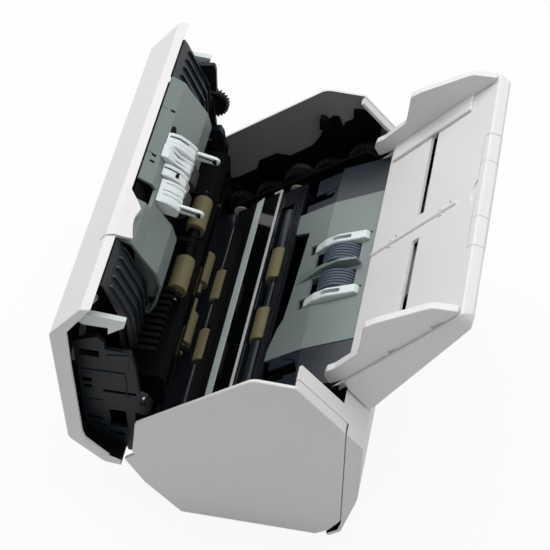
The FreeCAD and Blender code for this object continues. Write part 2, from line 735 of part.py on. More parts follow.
def deck_wing(side):
    """The darker rear deck beside the middle guide, with its two steps."""
    inner = GUIDE_HALF + SHUT_LINE
    outer = PATH_HALF + 0.6
    left, right = about_paper(side, inner, outer)
    plate = rear_deck_plate(GUIDE_START + 12.0, GUIDE_END, left, right, 0.5, GUIDE_THICK)
    corners = []
    steps = [(inner - 1, GUIDE_START + 12.0), (inner + 2.6, GUIDE_START + 14.4),
             (inner + 7.6, GUIDE_START + 23.4),
             (inner + 17.4, GUIDE_START + 28.0), (outer + 1, GUIDE_START + 29.0), (outer + 1, GUIDE_START)]
    for away, along in steps + [(inner - 1, GUIDE_START)]:
        corners.append((PAPER_X + side * away, along))
    trim = path_slab(corners, -8.0, 2.0)
    step_left, step_right = about_paper(side, WING_STEP_HALF, outer)
    low_step = rear_deck_plate(GUIDE_START + 4.0, GUIDE_END - 6.0, step_left, step_right, 3.0, 1.6)
    tongue_left, tongue_right = about_paper(side, inner, inner + 9.0)
    tongue = rear_deck_plate(GUIDE_START, GUIDE_START + 22.0, tongue_left, tongue_right, 1.2, 1.8)
    legs = []
    for start in (GUIDE_START + 14.0, GUIDE_START + 50.0):
        leg_left, leg_right = about_paper(side, WING_STEP_HALF - 3.0, WING_STEP_HALF + 1.0)
        legs.append(path_block(leg_left, leg_right, start, start + 14.0, -20.0,
                               guide_surface(start + 14.0) - 3.4))
    return joined([plate.cut(trim), low_step, tongue] + legs)


def centre_fin():
    """The fin between the two pick rollers, broad at its front and thin behind."""
    line = [(84.4, -3.4), (100.0, -9.0), (138.6, -11.0), (138.6, 0.0), (126.0, 3.6, 6.0), (110.0, 3.4, 10.0)]
    blade = prism(placed(line + [(84.4, -DECK_DROP)], path), PAPER_X - 5.0, PAPER_X + 5.0)
    plan = []
    for half, along in ((4.0, 84.0), (3.2, 96.0), (1.3, 118.0), (1.0, 139.0)):
        plan.append((PAPER_X + half, along))
    for half, along in ((1.0, 139.0), (1.3, 118.0), (3.2, 96.0), (4.0, 84.0)):
        plan.append((PAPER_X - half, along))
    return blade.common(path_slab(plan, -12.0, 6.0))


def paper_flap(side):
    """One sprung white flap beside the pick rollers, split for the cover's prong."""
    x = PAPER_X + side * FLAP_X
    half = FLAP_WIDTH / 2
    top = [(FLAP_START, -4.5, 1.0), (97.0, -1.0, 4.0), (107.0, 1.8, 8.0), (118.0, 2.0, 8.0),
           (139.5, -3.0, 2.0)]
    tail = [(FLAP_END, -6.0, 1.0), (FLAP_END, -11.0, 2.4), (134.8, -11.0, 2.4), (130.0, -6.5), (102.0, -5.0)]
    body = prism(placed(top + tail, path), x - half, x + half)
    crown = []
    for edge in body.Edges:
        middle = edge.valueAt((edge.FirstParameter + edge.LastParameter) / 2)
        if edge.BoundBox.XLength < 0.01 and path_height(middle) > -4.0:
            crown.append(edge)
    plan = []
    for share, along in ((0.45, 91.0), (0.9, 98.0), (1.0, 108.0), (1.0, 134.0), (0.8, 142.0)):
        plan.append((x + half * share, along))
    for share, along in ((0.8, 142.0), (1.0, 134.0), (1.0, 108.0), (0.9, 98.0), (0.45, 91.0)):
        plan.append((x - half * share, along))
    shaped = body.makeFillet(1.4, crown).common(path_slab(plan, -14.0, 6.0))
    bore = rod(path(FLAP_PIVOT[0], FLAP_PIVOT[1]), FLAP_PIN_RADIUS + BEARING_GAP, x - half - 1, x + half + 1)
    slot = path_block(x - PRONG_SLOT / 2, x + PRONG_SLOT / 2, 113.4, 128.6, -12.0, 4.0)
    return less(shaped, [bore, slot])


def path_height(spot):
    """How far a place stands above the sheet on the paper path."""
    angle = math.radians(PATH_ANGLE)
    return -(spot.y - PATH_START[0]) * math.sin(angle) + (spot.z - PATH_START[1]) * math.cos(angle)


def flap_pivots():
    """The small pins that both flaps turn on, held by the middle guide."""
    pins = []
    centre = path(FLAP_PIVOT[0], FLAP_PIVOT[1])
    for x in mirrored_x(FLAP_X):
        half = FLAP_WIDTH / 2 + 0.6
        pins.append(rod(centre, FLAP_PIN_RADIUS, x - half - 2.0, x + half + 2.0))
        for left in (x - half - 2.0, x + half):
            pins.append(path_block(left, left + 2.0, 134.6, 141.4, -11.0, guide_surface(138.0) - 1.0))
    return pins

# ================================================================ driven rollers of the base
def cross_shaft(spot):
    """A plain steel shaft with chamfered ends that runs out to the gears."""
    left = BELT_LEFT + 3.0
    right = PAPER_X + FRAME_OUTER + 2.5
    shaft = rod(path(spot[0], spot[1]), SHAFT_RADIUS, left, right)
    return shaft.makeChamfer(0.5, [edge for edge in shaft.Edges if edge.BoundBox.XLength < 0.01])


def roller_pair(spot, radius, offset, length, grooves):
    """Two rubber tyres spaced either side of the middle, grooved where wanted."""
    rollers = []
    centre = path(spot[0], spot[1])
    for x in mirrored_x(offset):
        half = length / 2
        tyre = soft_tyre(centre, radius, SHAFT_RADIUS, x - half, x + half)
        cuts = []
        for index in range(grooves):
            at = x - half + length * (index + 1) / (grooves + 1)
            cuts.append(tube(centre, radius + 1, radius - 0.7, at - 0.45, at + 0.45))
        rollers.append(less(tyre, cuts) if cuts else tyre)
    return group(rollers)


def soft_tyre(centre, radius, bore, left, right):
    """A tyre with rounded outer edges."""
    tyre = tube(centre, radius, bore, left, right)
    ends = []
    for edge in tyre.Edges:
        box = edge.BoundBox
        if box.XLength < 0.01 and box.YLength > 2 * radius - 0.1:
            ends.append(edge)
    return tyre.makeFillet(0.7, ends)


def drive_gear(spot, size):
    """A gear on the end of one of the driven shafts."""
    tip, teeth = size
    return gear(path(spot[0], spot[1]), tip - TOOTH, tip, teeth, GEAR_LEFT, GEAR_RIGHT, SHAFT_RADIUS)


def idler_gear(spot):
    """A free gear that passes the drive along the side frame."""
    tip, teeth = IDLER_GEAR
    bore = IDLER_PIN_RADIUS + BEARING_GAP
    return gear(path(spot[0], spot[1]), tip - TOOTH, tip, teeth, GEAR_LEFT, GEAR_RIGHT, bore)


def idler_studs():
    """The studs that the free gears turn on."""
    studs = []
    frame = PAPER_X - FRAME_OUTER
    for spot in (IDLER_FRONT_AT, IDLER_REAR_AT):
        centre = path(spot[0], spot[1])
        studs.append(rod(centre, IDLER_PIN_RADIUS, GEAR_LEFT - BELT_STEP - 0.5, frame))
        studs.append(rod(centre, IDLER_PIN_RADIUS + 1.4, GEAR_RIGHT + 0.4, frame))
    return studs


def drive_motor():
    """The step motor on the inner face of the left side frame."""
    left = PAPER_X - FRAME_INNER
    can = rod(MOTOR_AT, MOTOR_RADIUS, left + 1.6, left + MOTOR_LENGTH)
    plate = prism([(88, 14), (136, 14), (136, 58), (88, 58)], left, left + 1.6)
    boss = rod(MOTOR_AT, 10.0, left - 1.4, left)
    bore = rod(MOTOR_AT, MOTOR_SHAFT_RADIUS + BEARING_GAP, left - 3, left + 20)
    return joined([can, plate, boss]).cut(bore)


def motor_shaft():
    """The motor's own shaft with the small belt wheel."""
    shaft = rod(MOTOR_AT, MOTOR_SHAFT_RADIUS, BELT_LEFT - 1.0, PAPER_X - FRAME_INNER + 15.0)
    wheel = gear(MOTOR_AT, PULLEY_RADIUS - 0.9, PULLEY_RADIUS, 16, BELT_LEFT, BELT_RIGHT,
                 MOTOR_SHAFT_RADIUS - 0.5)
    flange = rod(MOTOR_AT, PULLEY_RADIUS + 1.6, BELT_RIGHT, BELT_RIGHT + 0.9)
    return joined([shaft, wheel, flange])


def feed_pulley():
    """The belt wheel on the feed shaft."""
    centre = path(FEED_AT[0], FEED_AT[1])
    rim = FEED_PULLEY_RADIUS
    wheel = gear(centre, rim - 0.9, rim, 24, BELT_LEFT, BELT_RIGHT, SHAFT_RADIUS)
    hub = tube(centre, SHAFT_RADIUS + 2.0, SHAFT_RADIUS, BELT_RIGHT, GEAR_LEFT)
    return joined([wheel, hub])


def drive_belt():
    """The toothed belt around both wheels."""
    centre = path(FEED_AT[0], FEED_AT[1])
    inner = belt_outline(centre, FEED_PULLEY_RADIUS + BELT_GAP, MOTOR_AT, PULLEY_RADIUS + BELT_GAP)
    reach = BELT_GAP + BELT_THICK
    outer = belt_outline(centre, FEED_PULLEY_RADIUS + reach, MOTOR_AT, PULLEY_RADIUS + reach)
    left = BELT_LEFT + 0.3
    right = BELT_RIGHT - 0.4
    return extruded_wire(outer, left, right).cut(extruded_wire(inner, left - 1, right + 1))


def belt_outline(first, first_radius, second, second_radius):
    """The taut loop around two wheels."""
    y = second[0] - first[0]
    z = second[1] - first[1]
    heading = math.atan2(z, y)
    spread = math.acos((first_radius - second_radius) / math.hypot(y, z))
    spots = []
    wheels = ((first, first_radius, 1), (second, second_radius, 1), (second, second_radius, -1),
              (first, first_radius, -1))
    for centre, radius, sign in wheels:
        spots.append(rim_spot(centre, radius, heading + sign * spread))
    far = rim_spot(second, second_radius, heading)
    near = rim_spot(first, -first_radius, heading)
    edges = [Part.makeLine(spots[0], spots[1]), Part.Arc(spots[1], far, spots[2]).toShape()]
    edges += [Part.makeLine(spots[2], spots[3]), Part.Arc(spots[3], near, spots[0]).toShape()]
    return Part.Wire(edges)


def rim_spot(centre, radius, angle):
    """A place on the rim of a wheel."""
    return FreeCAD.Vector(0, centre[0] + radius * math.cos(angle), centre[1] + radius * math.sin(angle))


def extruded_wire(wire, left, right):
    """A solid from a closed wire drawn at x zero."""
    face = Part.Face(wire)
    face.translate(FreeCAD.Vector(left, 0, 0))
    return face.extrude(FreeCAD.Vector(right - left, 0, 0))

# ================================================================ boards, sockets and brackets
def main_board():
    """The control board behind the rear cover, with its four screw holes."""
    board = block(-BOARD_HALF, BOARD_HALF, BOARD_FRONT, BOARD_REAR, BOARD_LOW, BOARD_HIGH)
    holes = []
    for x in (6.0 - BOARD_HALF, BOARD_HALF - 6.0):
        for z in (BOARD_LOW + 6.0, BOARD_HIGH - 6.0):
            holes.append(bolt_hole(x, z, 1.6))
    return less(board, holes)


def bolt_hole(x, z, radius):
    """A hole from front to back."""
    return Part.makeCylinder(radius, 20, FreeCAD.Vector(x, BOARD_FRONT - 8, z), FreeCAD.Vector(0, 1, 0))


def power_inlet():
    """The round power socket that faces rearwards."""
    low, high = SOCKET_Z - SOCKET_HALF, SOCKET_Z + SOCKET_HALF
    body = block(POWER_X - SOCKET_HALF, POWER_X + SOCKET_HALF, BOARD_REAR, SOCKET_REAR, low, high)
    seat = FreeCAD.Vector(POWER_X, BOARD_REAR + 2.0, SOCKET_Z)
    cup = Part.makeCylinder(3.3, 10.4, seat, FreeCAD.Vector(0, 1, 0))
    pin = Part.makeCylinder(0.9, 8.6, seat, FreeCAD.Vector(0, 1, 0))
    return body.cut(cup).fuse(pin).removeSplitter()


def data_socket():
    """The square data socket that faces rearwards."""
    low, high = SOCKET_Z - SOCKET_HALF, SOCKET_Z + SOCKET_HALF
    body = block(DATA_X - SOCKET_HALF, DATA_X + SOCKET_HALF, BOARD_REAR, SOCKET_REAR, low, high)
    start = BOARD_REAR + 2.0
    cup = block(DATA_X - 4.4, DATA_X + 4.4, start, SOCKET_REAR + 1.4, SOCKET_Z - 4.0, SOCKET_Z + 4.0)
    tongue = block(DATA_X - 2.8, DATA_X + 2.8, start, SOCKET_REAR - 1.6, SOCKET_Z - 1.5, SOCKET_Z + 1.5)
    return body.cut(cup).fuse(tongue).removeSplitter()


def latch_catches():
    """Two catches that stand just inside the reach of the cover's hooks."""
    right = prism(CATCH_LINE, HALF_WIDTH - 19.4, CASE_INNER - SEAT)
    left = prism(CATCH_LINE, 2 * SEAT - CASE_INNER + GUARD_THICK, 9.6 - HALF_WIDTH)
    return right, left


def left_gear_case():
    """The tall dark guard between the gears and the left wall."""
    line = [(36.0, 20.0), (24.4, 34.0), (21.4, 53.6), (29.4, 57.4), (43.1, 69.0), (44.6, 78.1),
            (58.1, 88.3), (69.2, 88.3, 2.0), (86.1, 102.3), (92.0, 113.0, 3.0), (95.5, 127.2),
            (101.2, 136.5, 1.5), (105.9, 136.5, 1.5), (109.3, 126.7), (110.7, 131.1), (116.9, 136.0),
            (116.9, 146.4, 1.0), (130.0, 146.6, 2.0), (138.0, 132.0), (140.0, 20.0)]
    return prism(line, SEAT - CASE_INNER, SEAT - CASE_INNER + GUARD_THICK)


def gear_case_foot():
    """The ledge that carries the guard on the floor."""
    return block(SEAT - CASE_INNER, 8.0 - HALF_WIDTH, 60.0, 136.0, SILL_LOW + WALL, 21.0)

# ================================================================ document feeder cover, drawn shut
def tray_side(side, rest):
    """A place across the cover, measured inwards from one side of the case."""
    return side * (HALF_WIDTH - rest)


def cover_shell():
    """The outer skin of the cover with its two end walls and the finger recess."""
    solid = prism(COVER_SKIN + COVER_RIM, -HALF_WIDTH, HALF_WIDTH)
    solid = solid.makeFillet(1.2, skin_end_edges(solid))
    inner_skin = offset_line(COVER_SKIN, -WALL)
    inner_rim = [(130.0, 158.0), (94.0, 140.0), (20.0, 80.0), (14.0, 57.0)]
    hollow_line = inner_skin[1:-1] + [(124.4, 162.0)] + inner_rim + [(5.2, 60.0)]
    hollow = prism(hollow_line, -CASE_INNER, CASE_INNER)
    cuts = [tab_outline(SHUT_LINE).common(path_block(-CASE_INNER, CASE_INNER, 136.0, 156.0, 20.0, 60.0))]
    for x in BUTTON_XS:
        cuts.append(button_cut(x, BUTTON_RADIUS + 0.35))
    return less(solid.cut(hollow), cuts).removeSplitter()


def skin_end_edges(solid):
    """The end edges of the skin, away from the rim."""
    edges = []
    for edge in solid.Edges:
        box = edge.BoundBox
        if box.XLength > 0.01:
            continue
        middle = edge.valueAt((edge.FirstParameter + edge.LastParameter) / 2)
        if above_rim(middle.y, middle.z):
            edges.append(edge)
    return edges


def above_rim(y, z):
    """Whether a place on the end wall lies on its outer, skin side."""
    start = (5.2, 69.5)
    end = (126.6, 163.8)
    return (end[0] - start[0]) * (z - start[1]) - (end[1] - start[1]) * (y - start[0]) > 60.0


def tab_outline(gap):
    """The room of the finger tab in the cover's lip, slanted on its skin side."""
    left = TAB_LEFT - gap
    right = TAB_RIGHT + gap
    corners = [(left, 146.4 - gap), (right, 140.8 - gap), (right, 158.0), (left, 158.0)]
    return path_slab(corners, 10.0, 62.0)


def button_cut(x, radius):
    """A round cutter square to the top slope of the cover."""
    angle = math.radians(BUTTON_NORMAL)
    way = FreeCAD.Vector(0, math.cos(angle), math.sin(angle))
    base = FreeCAD.Vector(x, BUTTON_AT[0], BUTTON_AT[1]).sub(way * 12)
    return Part.makeCylinder(radius, 24, base, way)


def button(x):
    """One push button standing just proud of the cover."""
    angle = math.radians(BUTTON_NORMAL)
    way = FreeCAD.Vector(0, math.cos(angle), math.sin(angle))
    face = FreeCAD.Vector(x, BUTTON_AT[0], BUTTON_AT[1])
    cap = Part.makeCylinder(BUTTON_RADIUS, 4.6, face.sub(way * 3.4), way)
    flange = Part.makeCylinder(BUTTON_RADIUS + 1.4, 1.2, face.sub(way * 4.3), way)
    crown = face.add(way * 1.2)
    top = [edge for edge in cap.Edges if edge.BoundBox.Center.sub(crown).Length < 0.1]
    return joined([cap.makeFillet(0.6, top), flange])


def cover_frame():
    """The black inner tray that everything inside the cover is fixed to."""
    left = tray_side(-1, 17.0)
    right = tray_side(1, 20.4)
    line = [(-9.0, 24.0), (2.0, COVER_PLATE_W, 3.0), (TRAY_END, COVER_PLATE_W)]
    tray = sheet(placed(line, path), TRAY_THICK, left, right)
    apron_line = [(13.6, 19.4), (3.0, 14.2, 3.0), (-7.0, 15.6, 2.0), (-12.0, 19.4, 2.0), (-10.2, 24.6)]
    apron = sheet(placed(apron_line, path), -1.6, left + 6.2, right - 3.2)
    roof = path_block(left + 6.2, right - 3.2, 8.0, 13.6, 17.6, COVER_PLATE_W + 0.4)
    ribs = []
    for x in (PAPER_X - 87.0, PAPER_X - 53.0, PAPER_X + 53.0, PAPER_X + 89.0):
        ribs.append(path_block(x - 1.2, x + 1.2, 6.0, 94.0, COVER_PLATE_W + 2.0, COVER_PLATE_W + 12.0))
    block_line = [(136.8, 30.0), (143.0, 33.6, 1.3), (142.4, 36.6, 1.3), (134.0, 37.4), (112.0, 27.0)]
    block_line += [(104.0, 24.0), (104.0, 22.4)]
    link_block = prism(placed(block_line, path), TAB_LEFT - 13.0, TAB_LEFT - 1.0)
    return joined([tray, apron, roof, link_block] + ribs)


def cover_end_plate(side):
    """The black end plate of the cover with the eye that turns on the hinge pin."""
    rest = RIGHT_PLATE_REST if side > 0 else LEFT_PLATE_REST
    left, right = between(side, HALF_WIDTH - rest - PLATE_THICK, HALF_WIDTH - rest)
    line = [(-16.2, 20.0), (-16.2, 25.6), (-11.0, 27.4), (-9.2, 38.0, 2.0), (2.6, 50.4, 3.0),
            (10.0, 54.8, 3.0), (96.0, 55.8, 4.0), (103.0, 38.6, 2.0), (97.8, 34.0, 1.5), (91.0, 34.2, 1.0),
            (89.6, 16.4, 1.0), (74.0, 14.4, 2.0), (48.0, 13.2), (45.6, 8.4, 2.0), (40.0, 5.4, 3.0),
            (32.6, 6.4, 3.0), (26.0, 10.0, 2.0), (27.4, 17.8), (4.0, 19.4)]
    plate = prism(placed(line, path), left, right)
    eye = rod(COVER_HINGE, HINGE_EYE_RADIUS, left, right)
    arm = prism(placed([(-16.6, 14.0), (-16.4, 26.0), (2.0, 26.0), (-2.0, 10.0)], path), left, right)
    body = joined([plate, eye, arm])
    cuts = [rod(COVER_HINGE, HINGE_PIN_RADIUS + BEARING_GAP, left - 1, right + 1)]
    windows = [(82.0, 88.6, 38.6, 52.8), (8.5, 27.0, 24.4, 37.0), (45.6, 48.4, 16.0, 38.8),
               (54.6, 58.8, 46.0, 53.2)]
    windows += [(48.2, 51.6, 46.6, 53.2), (-1.4, 2.6, 27.0, 33.2), (-1.4, 2.6, 35.0, 38.6)]
    for start, end, low, high in windows:
        corners = [(start, low, 0.8), (end, low, 0.8), (end, high, 0.8), (start, high, 0.8)]
        cuts.append(prism(placed(corners, path), left - 1, right + 1))
    slits = [[(14.0, 41.0), (16.4, 41.0), (19.6, 53.0), (14.6, 53.0)],
             [(6.6, 39.6), (8.8, 39.6), (9.6, 52.0), (7.8, 52.0)]]
    for slit in slits:
        cuts.append(prism(placed(slit, path), left - 1, right + 1))
    cuts.append(rod(path(38.1, 11.7), 2.2, left - 1, right + 1))
    return less(body, cuts)


def brake_at():
    """Where the brake shaft runs so that its rollers just clear the pick rollers."""
    reach = PICK_RADIUS + NIP_GAP + BRAKE_RADIUS
    back = PICK_AT[0] - BRAKE_ALONG
    return (BRAKE_ALONG, PICK_AT[1] + math.sqrt(reach * reach - back * back))


def cover_shaft(spot, half):
    """A plain shaft inside the cover."""
    return rod(path(spot[0], spot[1]), PINCH_SHAFT_RADIUS, PAPER_X - half, PAPER_X + half)


def cover_rollers(spot, radius, offset, length):
    """Two tyres on a cover shaft."""
    rollers = []
    centre = path(spot[0], spot[1])
    for x in mirrored_x(offset):
        rollers.append(soft_tyre(centre, radius, PINCH_SHAFT_RADIUS, x - length / 2, x + length / 2))
    return group(rollers)


def shaft_hanger(spot, x, wide):
    """A small arm from the tray down to a cover shaft."""
    bore = PINCH_SHAFT_RADIUS + BEARING_GAP
    centre = path(spot[0], spot[1])
    eye = rod(centre, PINCH_SHAFT_RADIUS + 2.0, x, x + wide)
    arm = path_block(x, x + wide, spot[0] - 4.5, spot[0] + 4.5, spot[1], COVER_PLATE_W)
    return joined([eye, arm]).cut(rod(centre, bore, x - 1, x + wide + 1))


def pinch_hangers():
    """The arms that hold the two pinch shafts under the tray."""
    arms = []
    for spot in (PINCH_AT, EXIT_PINCH_AT):
        for offset in (2.0 - PINCH_HALF, -4.0, PINCH_HALF - 6.0):
            arms.append(shaft_hanger(spot, PAPER_X + offset, 4.0))
    return arms


def upper_scan_housing():
    """The upper image sensor housing that faces the lower one."""
    left = PAPER_X - PATH_HALF - 4.0
    right = PAPER_X + PATH_HALF + 4.0
    body = path_block(left, right, SCAN_START, SCAN_END - 1.4, 1.6, COVER_PLATE_W - SEAT)
    cuts = [prism(placed([(13.0, 0.0), (22.0, 0.0), (13.0, 7.0)], path), left - 1, right + 1)]
    cuts.append(prism(placed([(46.0, 0.0), (39.0, 0.0), (46.0, 6.0)], path), left - 1, right + 1))
    half = PATH_HALF + 1.0
    cuts.append(path_block(PAPER_X - half, PAPER_X + half, 24.4, 35.4, 0.0, 3.0))
    half = PATH_HALF - 1.0
    cuts.append(path_block(PAPER_X - half, PAPER_X + half, 25.4, 34.4, 0.0, 15.0))
    return less(body, cuts)


def upper_scan_glass():
    """The glass strip under the upper image sensor."""
    half = PATH_HALF + 0.8
    return path_block(PAPER_X - half, PAPER_X + half, 24.5, 35.3, 1.8, 3.0)


def upper_paper_guides():
    """The grey green guide of the cover: one lip band that carries two wide bent faces."""
    left = PAPER_X - GUIDE_LEFT_EDGE
    right = PAPER_X + GUIDE_RIGHT_EDGE
    spans = ((left, PAPER_X - GUIDE_LEFT_INNER), (PAPER_X + GUIDE_RIGHT_INNER, right))
    band = sheet(placed(GUIDE_FACE[:2] + [(131.6, 20.3)], path), -2.0, left, right)
    recess = path_block(TAB_LEFT - 15.0, TAB_LEFT + 3.0, 135.0, 150.0, 20.0, 40.0)
    solids = [band.cut(recess)]
    for start, end in spans:
        plate = sheet(placed(GUIDE_FACE, path), -2.0, start, end)
        solids.append(plate.cut(recess))
        for share in (0.125, 0.375, 0.625, 0.875):
            solids.append(guide_rib(start + (end - start) * share))
    return joined(solids)


def guide_rib(x):
    """One upright rib that stands the cover's guide off the tray."""
    line = [(126.0, 18.3), (113.0, 10.8), (100.0, 8.2), (84.0, 12.6), (84.0, COVER_PLATE_W - SEAT)]
    line += [(TRAY_END + SEAT, COVER_PLATE_W - SEAT), (TRAY_END + SEAT, 25.6), (126.0, 25.6)]
    return prism(placed(line, path), x - 0.8, x + 0.8)


def ribbed_guide(side):
    """The black end guide of the cover with its five ribs."""
    inner = GUIDE_RIGHT_EDGE + SHUT_LINE if side > 0 else GUIDE_LEFT_EDGE + SHUT_LINE
    left, right = about_paper(side, inner, RIBBED_HALF)
    line = [(145.6, 34.2), (141.0, 31.6, 2.0), (109.0, 18.8, 6.0), (84.0, 19.0), (84.0, COVER_PLATE_W - SEAT)]
    solids = [sheet(placed(line, path), -2.0, left, right)]
    crest = [(139.4, 31.8), (138.2, 28.4, 1.0), (108.0, 16.2, 3.0), (84.0, 16.4, 2.0),
             (83.4, COVER_PLATE_W - SEAT)]
    back = [(TRAY_END, COVER_PLATE_W - SEAT), (TRAY_END + SEAT, 20.4)]
    for index in range(RIB_COUNT):
        x = PAPER_X + side * (RIB_FIRST + RIB_PITCH * index)
        solids.append(prism(placed(crest + back, path), x - 0.7, x + 0.7))
    for away in (inner + 2.0, RIBBED_HALF - 4.0):
        foot_left, foot_right = about_paper(side, away, away + 2.0)
        foot = [(110.0, 19.6), (136.0, 30.6), (136.0, 34.0), (TRAY_END + SEAT, 25.0)]
        solids.append(prism(placed(foot, path), foot_left, foot_right))
    return joined(solids)


def retard_covers():
    """The white faceted covers over the brake rollers, with two long prongs."""
    steep = [(140.6, 24.6), (138.4, 16.4, 1.5), (133.6, 10.2, 2.5), (128.2, 5.3, 1.5), (119.8, 6.4, 1.0)]
    slanted = [(142.0, 24.6), (140.2, 19.4, 2.0), (133.2, 14.6, 2.5), (126.4, 5.6, 1.5), (119.8, 6.4, 1.0)]
    cap = [(137.0, 25.0), (134.4, 17.0, 3.0), (130.4, 10.6, 3.0), (124.8, 6.2, 1.5), (119.8, 6.8, 1.0)]
    near = [(135.0, 25.0), (131.0, 13.0, 1.5), (127.4, 7.4, 2.0), (124.6, 5.2, 1.5), (118.4, 6.8, 1.0)]
    back = [(119.8, 12.0), (122.0, 25.6)]
    solids = []
    for line, start, end in ((steep, -28.5, -15.5), (slanted, -15.5, -3.5), (cap, -2.5, 8.5),
                             (near, 10.0, 31.0)):
        solids.append(prism(placed(line + back, path), PAPER_X + start, PAPER_X + end))
    solids.append(prism(placed([(122.0, 19.0), (132.0, 21.4), (132.0, 25.4), (122.0, 25.6)], path),
                        PAPER_X - 28.0, PAPER_X + 30.5))
    band_room = [(130.4, 19.4), (140.2, 24.0), (147.0, 35.0), (147.0, 50.0), (130.4, 50.0)]
    spot = brake_at()
    centre = path(spot[0], spot[1])
    for x in (PAPER_X - 3.4, PAPER_X + 1.4):
        solids.append(prism(placed([(TRAY_END + SEAT, 26.4), (TRAY_END + SEAT, 12.0), (spot[0], 5.6, 2.0),
                                    (122.0, 7.0), (124.0, 25.0)], path), x, x + 2.0))
    for side in (-1, 1):
        x = PAPER_X + side * FLAP_X
        line = [(120.3, 7.0), (126.7, 6.6), (122.4, -9.3, 1.0), (116.6, -8.9, 1.0)]
        prong = prism(placed(line, path), x - PRONG_WIDE / 2, x + PRONG_WIDE / 2)
        slit = prism(placed([(123.0, 3.0), (124.2, 3.0), (121.6, -4.0), (120.6, -4.0)], path), x - 3, x + 3)
        solids.append(prong.cut(slit))
    cuts = [rod(centre, PINCH_SHAFT_RADIUS + BEARING_GAP, PAPER_X - 32, PAPER_X + 32)]
    cuts.append(prism(placed(band_room, path), PAPER_X - 32, PAPER_X + 32))
    half = BRAKE_LENGTH / 2 + 0.6
    for x in mirrored_x(PICK_X - 0.5):
        cuts.append(rod(centre, BRAKE_RADIUS + 0.6, x - half, x + half))
    return less(joined(solids), cuts)


def tooth_strip():
    """The toothed strip of thin fingers that strokes the sheets past the feed rollers."""
    left = PAPER_X + PINCH_HALF - 2.0
    right = PAPER_X + PATH_HALF + 4.0
    solids = [path_block(left, right, 64.0, 71.4, 19.6, COVER_PLATE_W)]
    count = 10
    pitch = (right - left) / count
    line = [(71.2, 21.0), (67.4, 21.0), (64.6, 9.0), (66.8, 4.6, 1.0), (71.4, 6.0)]
    for index in range(count):
        x = left + pitch * index
        solids.append(prism(placed(line, path), x + 1.2, x + pitch - 1.2))
    return joined(solids)


def cover_gear():
    """The toothed wheel at the left end of the brake drive."""
    centre = path(COVER_GEAR_AT[0], COVER_GEAR_AT[1])
    left = tray_side(-1, 6.6)
    return gear(centre, 11.0, 13.0, 26, left, left + 5.2, 2.5 + BEARING_GAP)


def cover_gear_stud():
    """The stud of the cover's toothed wheel, fixed to the left end plate."""
    centre = path(COVER_GEAR_AT[0], COVER_GEAR_AT[1])
    plate = tray_side(-1, LEFT_PLATE_REST)
    tip = plate - 8.2
    return joined([rod(centre, 2.5, tip, plate), rod(centre, 4.0, tip, tip + 1.6),
                   rod(centre, 4.0, plate - 0.7, plate)])


def left_block():
    """The dark guard block at the left end of the cover."""
    line = [(122.0, 22.0), (123.4, 13.0, 2.0), (118.0, 12.0), (98.0, 12.2), (96.0, 30.0), (120.0, 31.0)]
    plate = tray_side(-1, LEFT_PLATE_REST)
    return prism(placed(line, path), plate, plate + PLATE_THICK)


def left_low_block():
    """The dark drive guard low on the left end of the cover."""
    line = [(62.0, 17.0), (63.6, 10.0, 1.0), (58.0, 7.6, 1.0), (48.0, 6.8), (30.0, 8.6), (28.0, 17.0)]
    inner = tray_side(-1, LEFT_PLATE_REST) + PLATE_THICK
    return prism(placed(line, path), inner - 1.0, inner + 4.8)


def latch_shaft():
    """The bar that joins both latch hooks."""
    return rod(LATCH_AT, LATCH_RADIUS, tray_side(-1, 4.6), tray_side(1, 14.4))


def latch_hooks():
    """The two white hooks that hold the cover shut."""
    right = prism(HOOK_LINE, tray_side(1, 19.1), tray_side(1, 14.9))
    left = prism(HOOK_LINE, tray_side(-1, 5.1), tray_side(-1, 9.3))
    return [right, left]


def release_tab():
    """The pale finger tab, scooped at its free edge, that turns the latch bar."""
    crown = [(139.0, 48.2), (147.0, 42.2, 3.0), (149.0, 36.4, 2.0), (147.6, 30.0, 8.0), (147.0, 23.6)]
    under = [(145.2, 23.8), (145.6, 30.0), (146.0, 36.0, 2.0), (144.4, 40.4, 2.0), (138.4, 44.8)]
    lever = prism(placed(crown + under, path), TAB_LEFT, TAB_RIGHT).common(tab_outline(0.0))
    scoop = [(TAB_LEFT - 1, 35.2), (37.1, 31.8), (43.0, 27.6), (48.6, 24.6), (52.0, 25.4), (57.0, 26.8),
             (62.0, 26.7)]
    scoop += [(70.0, 25.2), (TAB_RIGHT + 1, 23.2), (TAB_RIGHT + 1, 10.0), (TAB_LEFT - 1, 10.0)]
    lever = lever.cut(path_curtain(scoop, 130.0, 160.0))
    arm_line = [(147.3, 33.3), (147.4, 35.0), (141.5, 40.4), (121.5, 51.5, 2.0), (118.0, 48.0), (120.0, 42.6)]
    arm_line.append((135.3, 42.2))
    arm = prism(placed(arm_line, path), TAB_LEFT + 14.0, TAB_RIGHT - 6.0)
    collar = rod(LATCH_AT, LATCH_RADIUS + 1.9, TAB_LEFT + 6.0, TAB_RIGHT - 6.0)
    body = joined([lever, arm, collar])
    return body.cut(rod(LATCH_AT, LATCH_RADIUS, TAB_LEFT, TAB_RIGHT))


def latch_ears():
    """The ears under the cover skin that carry the latch bar."""
    ears = []
    line = [(91.0, 167.8), (91.0, 152.0, 2.0), (103.0, 152.0, 2.0), (105.0, 167.6)]
    for x in (tray_side(-1, 23.0), -20.0, tray_side(1, 35.0)):
        ear = prism(line, x, x + 3.0)
        ears.append(ear.cut(rod(LATCH_AT, LATCH_RADIUS + BEARING_GAP, x - 1, x + 4)))
    return ears

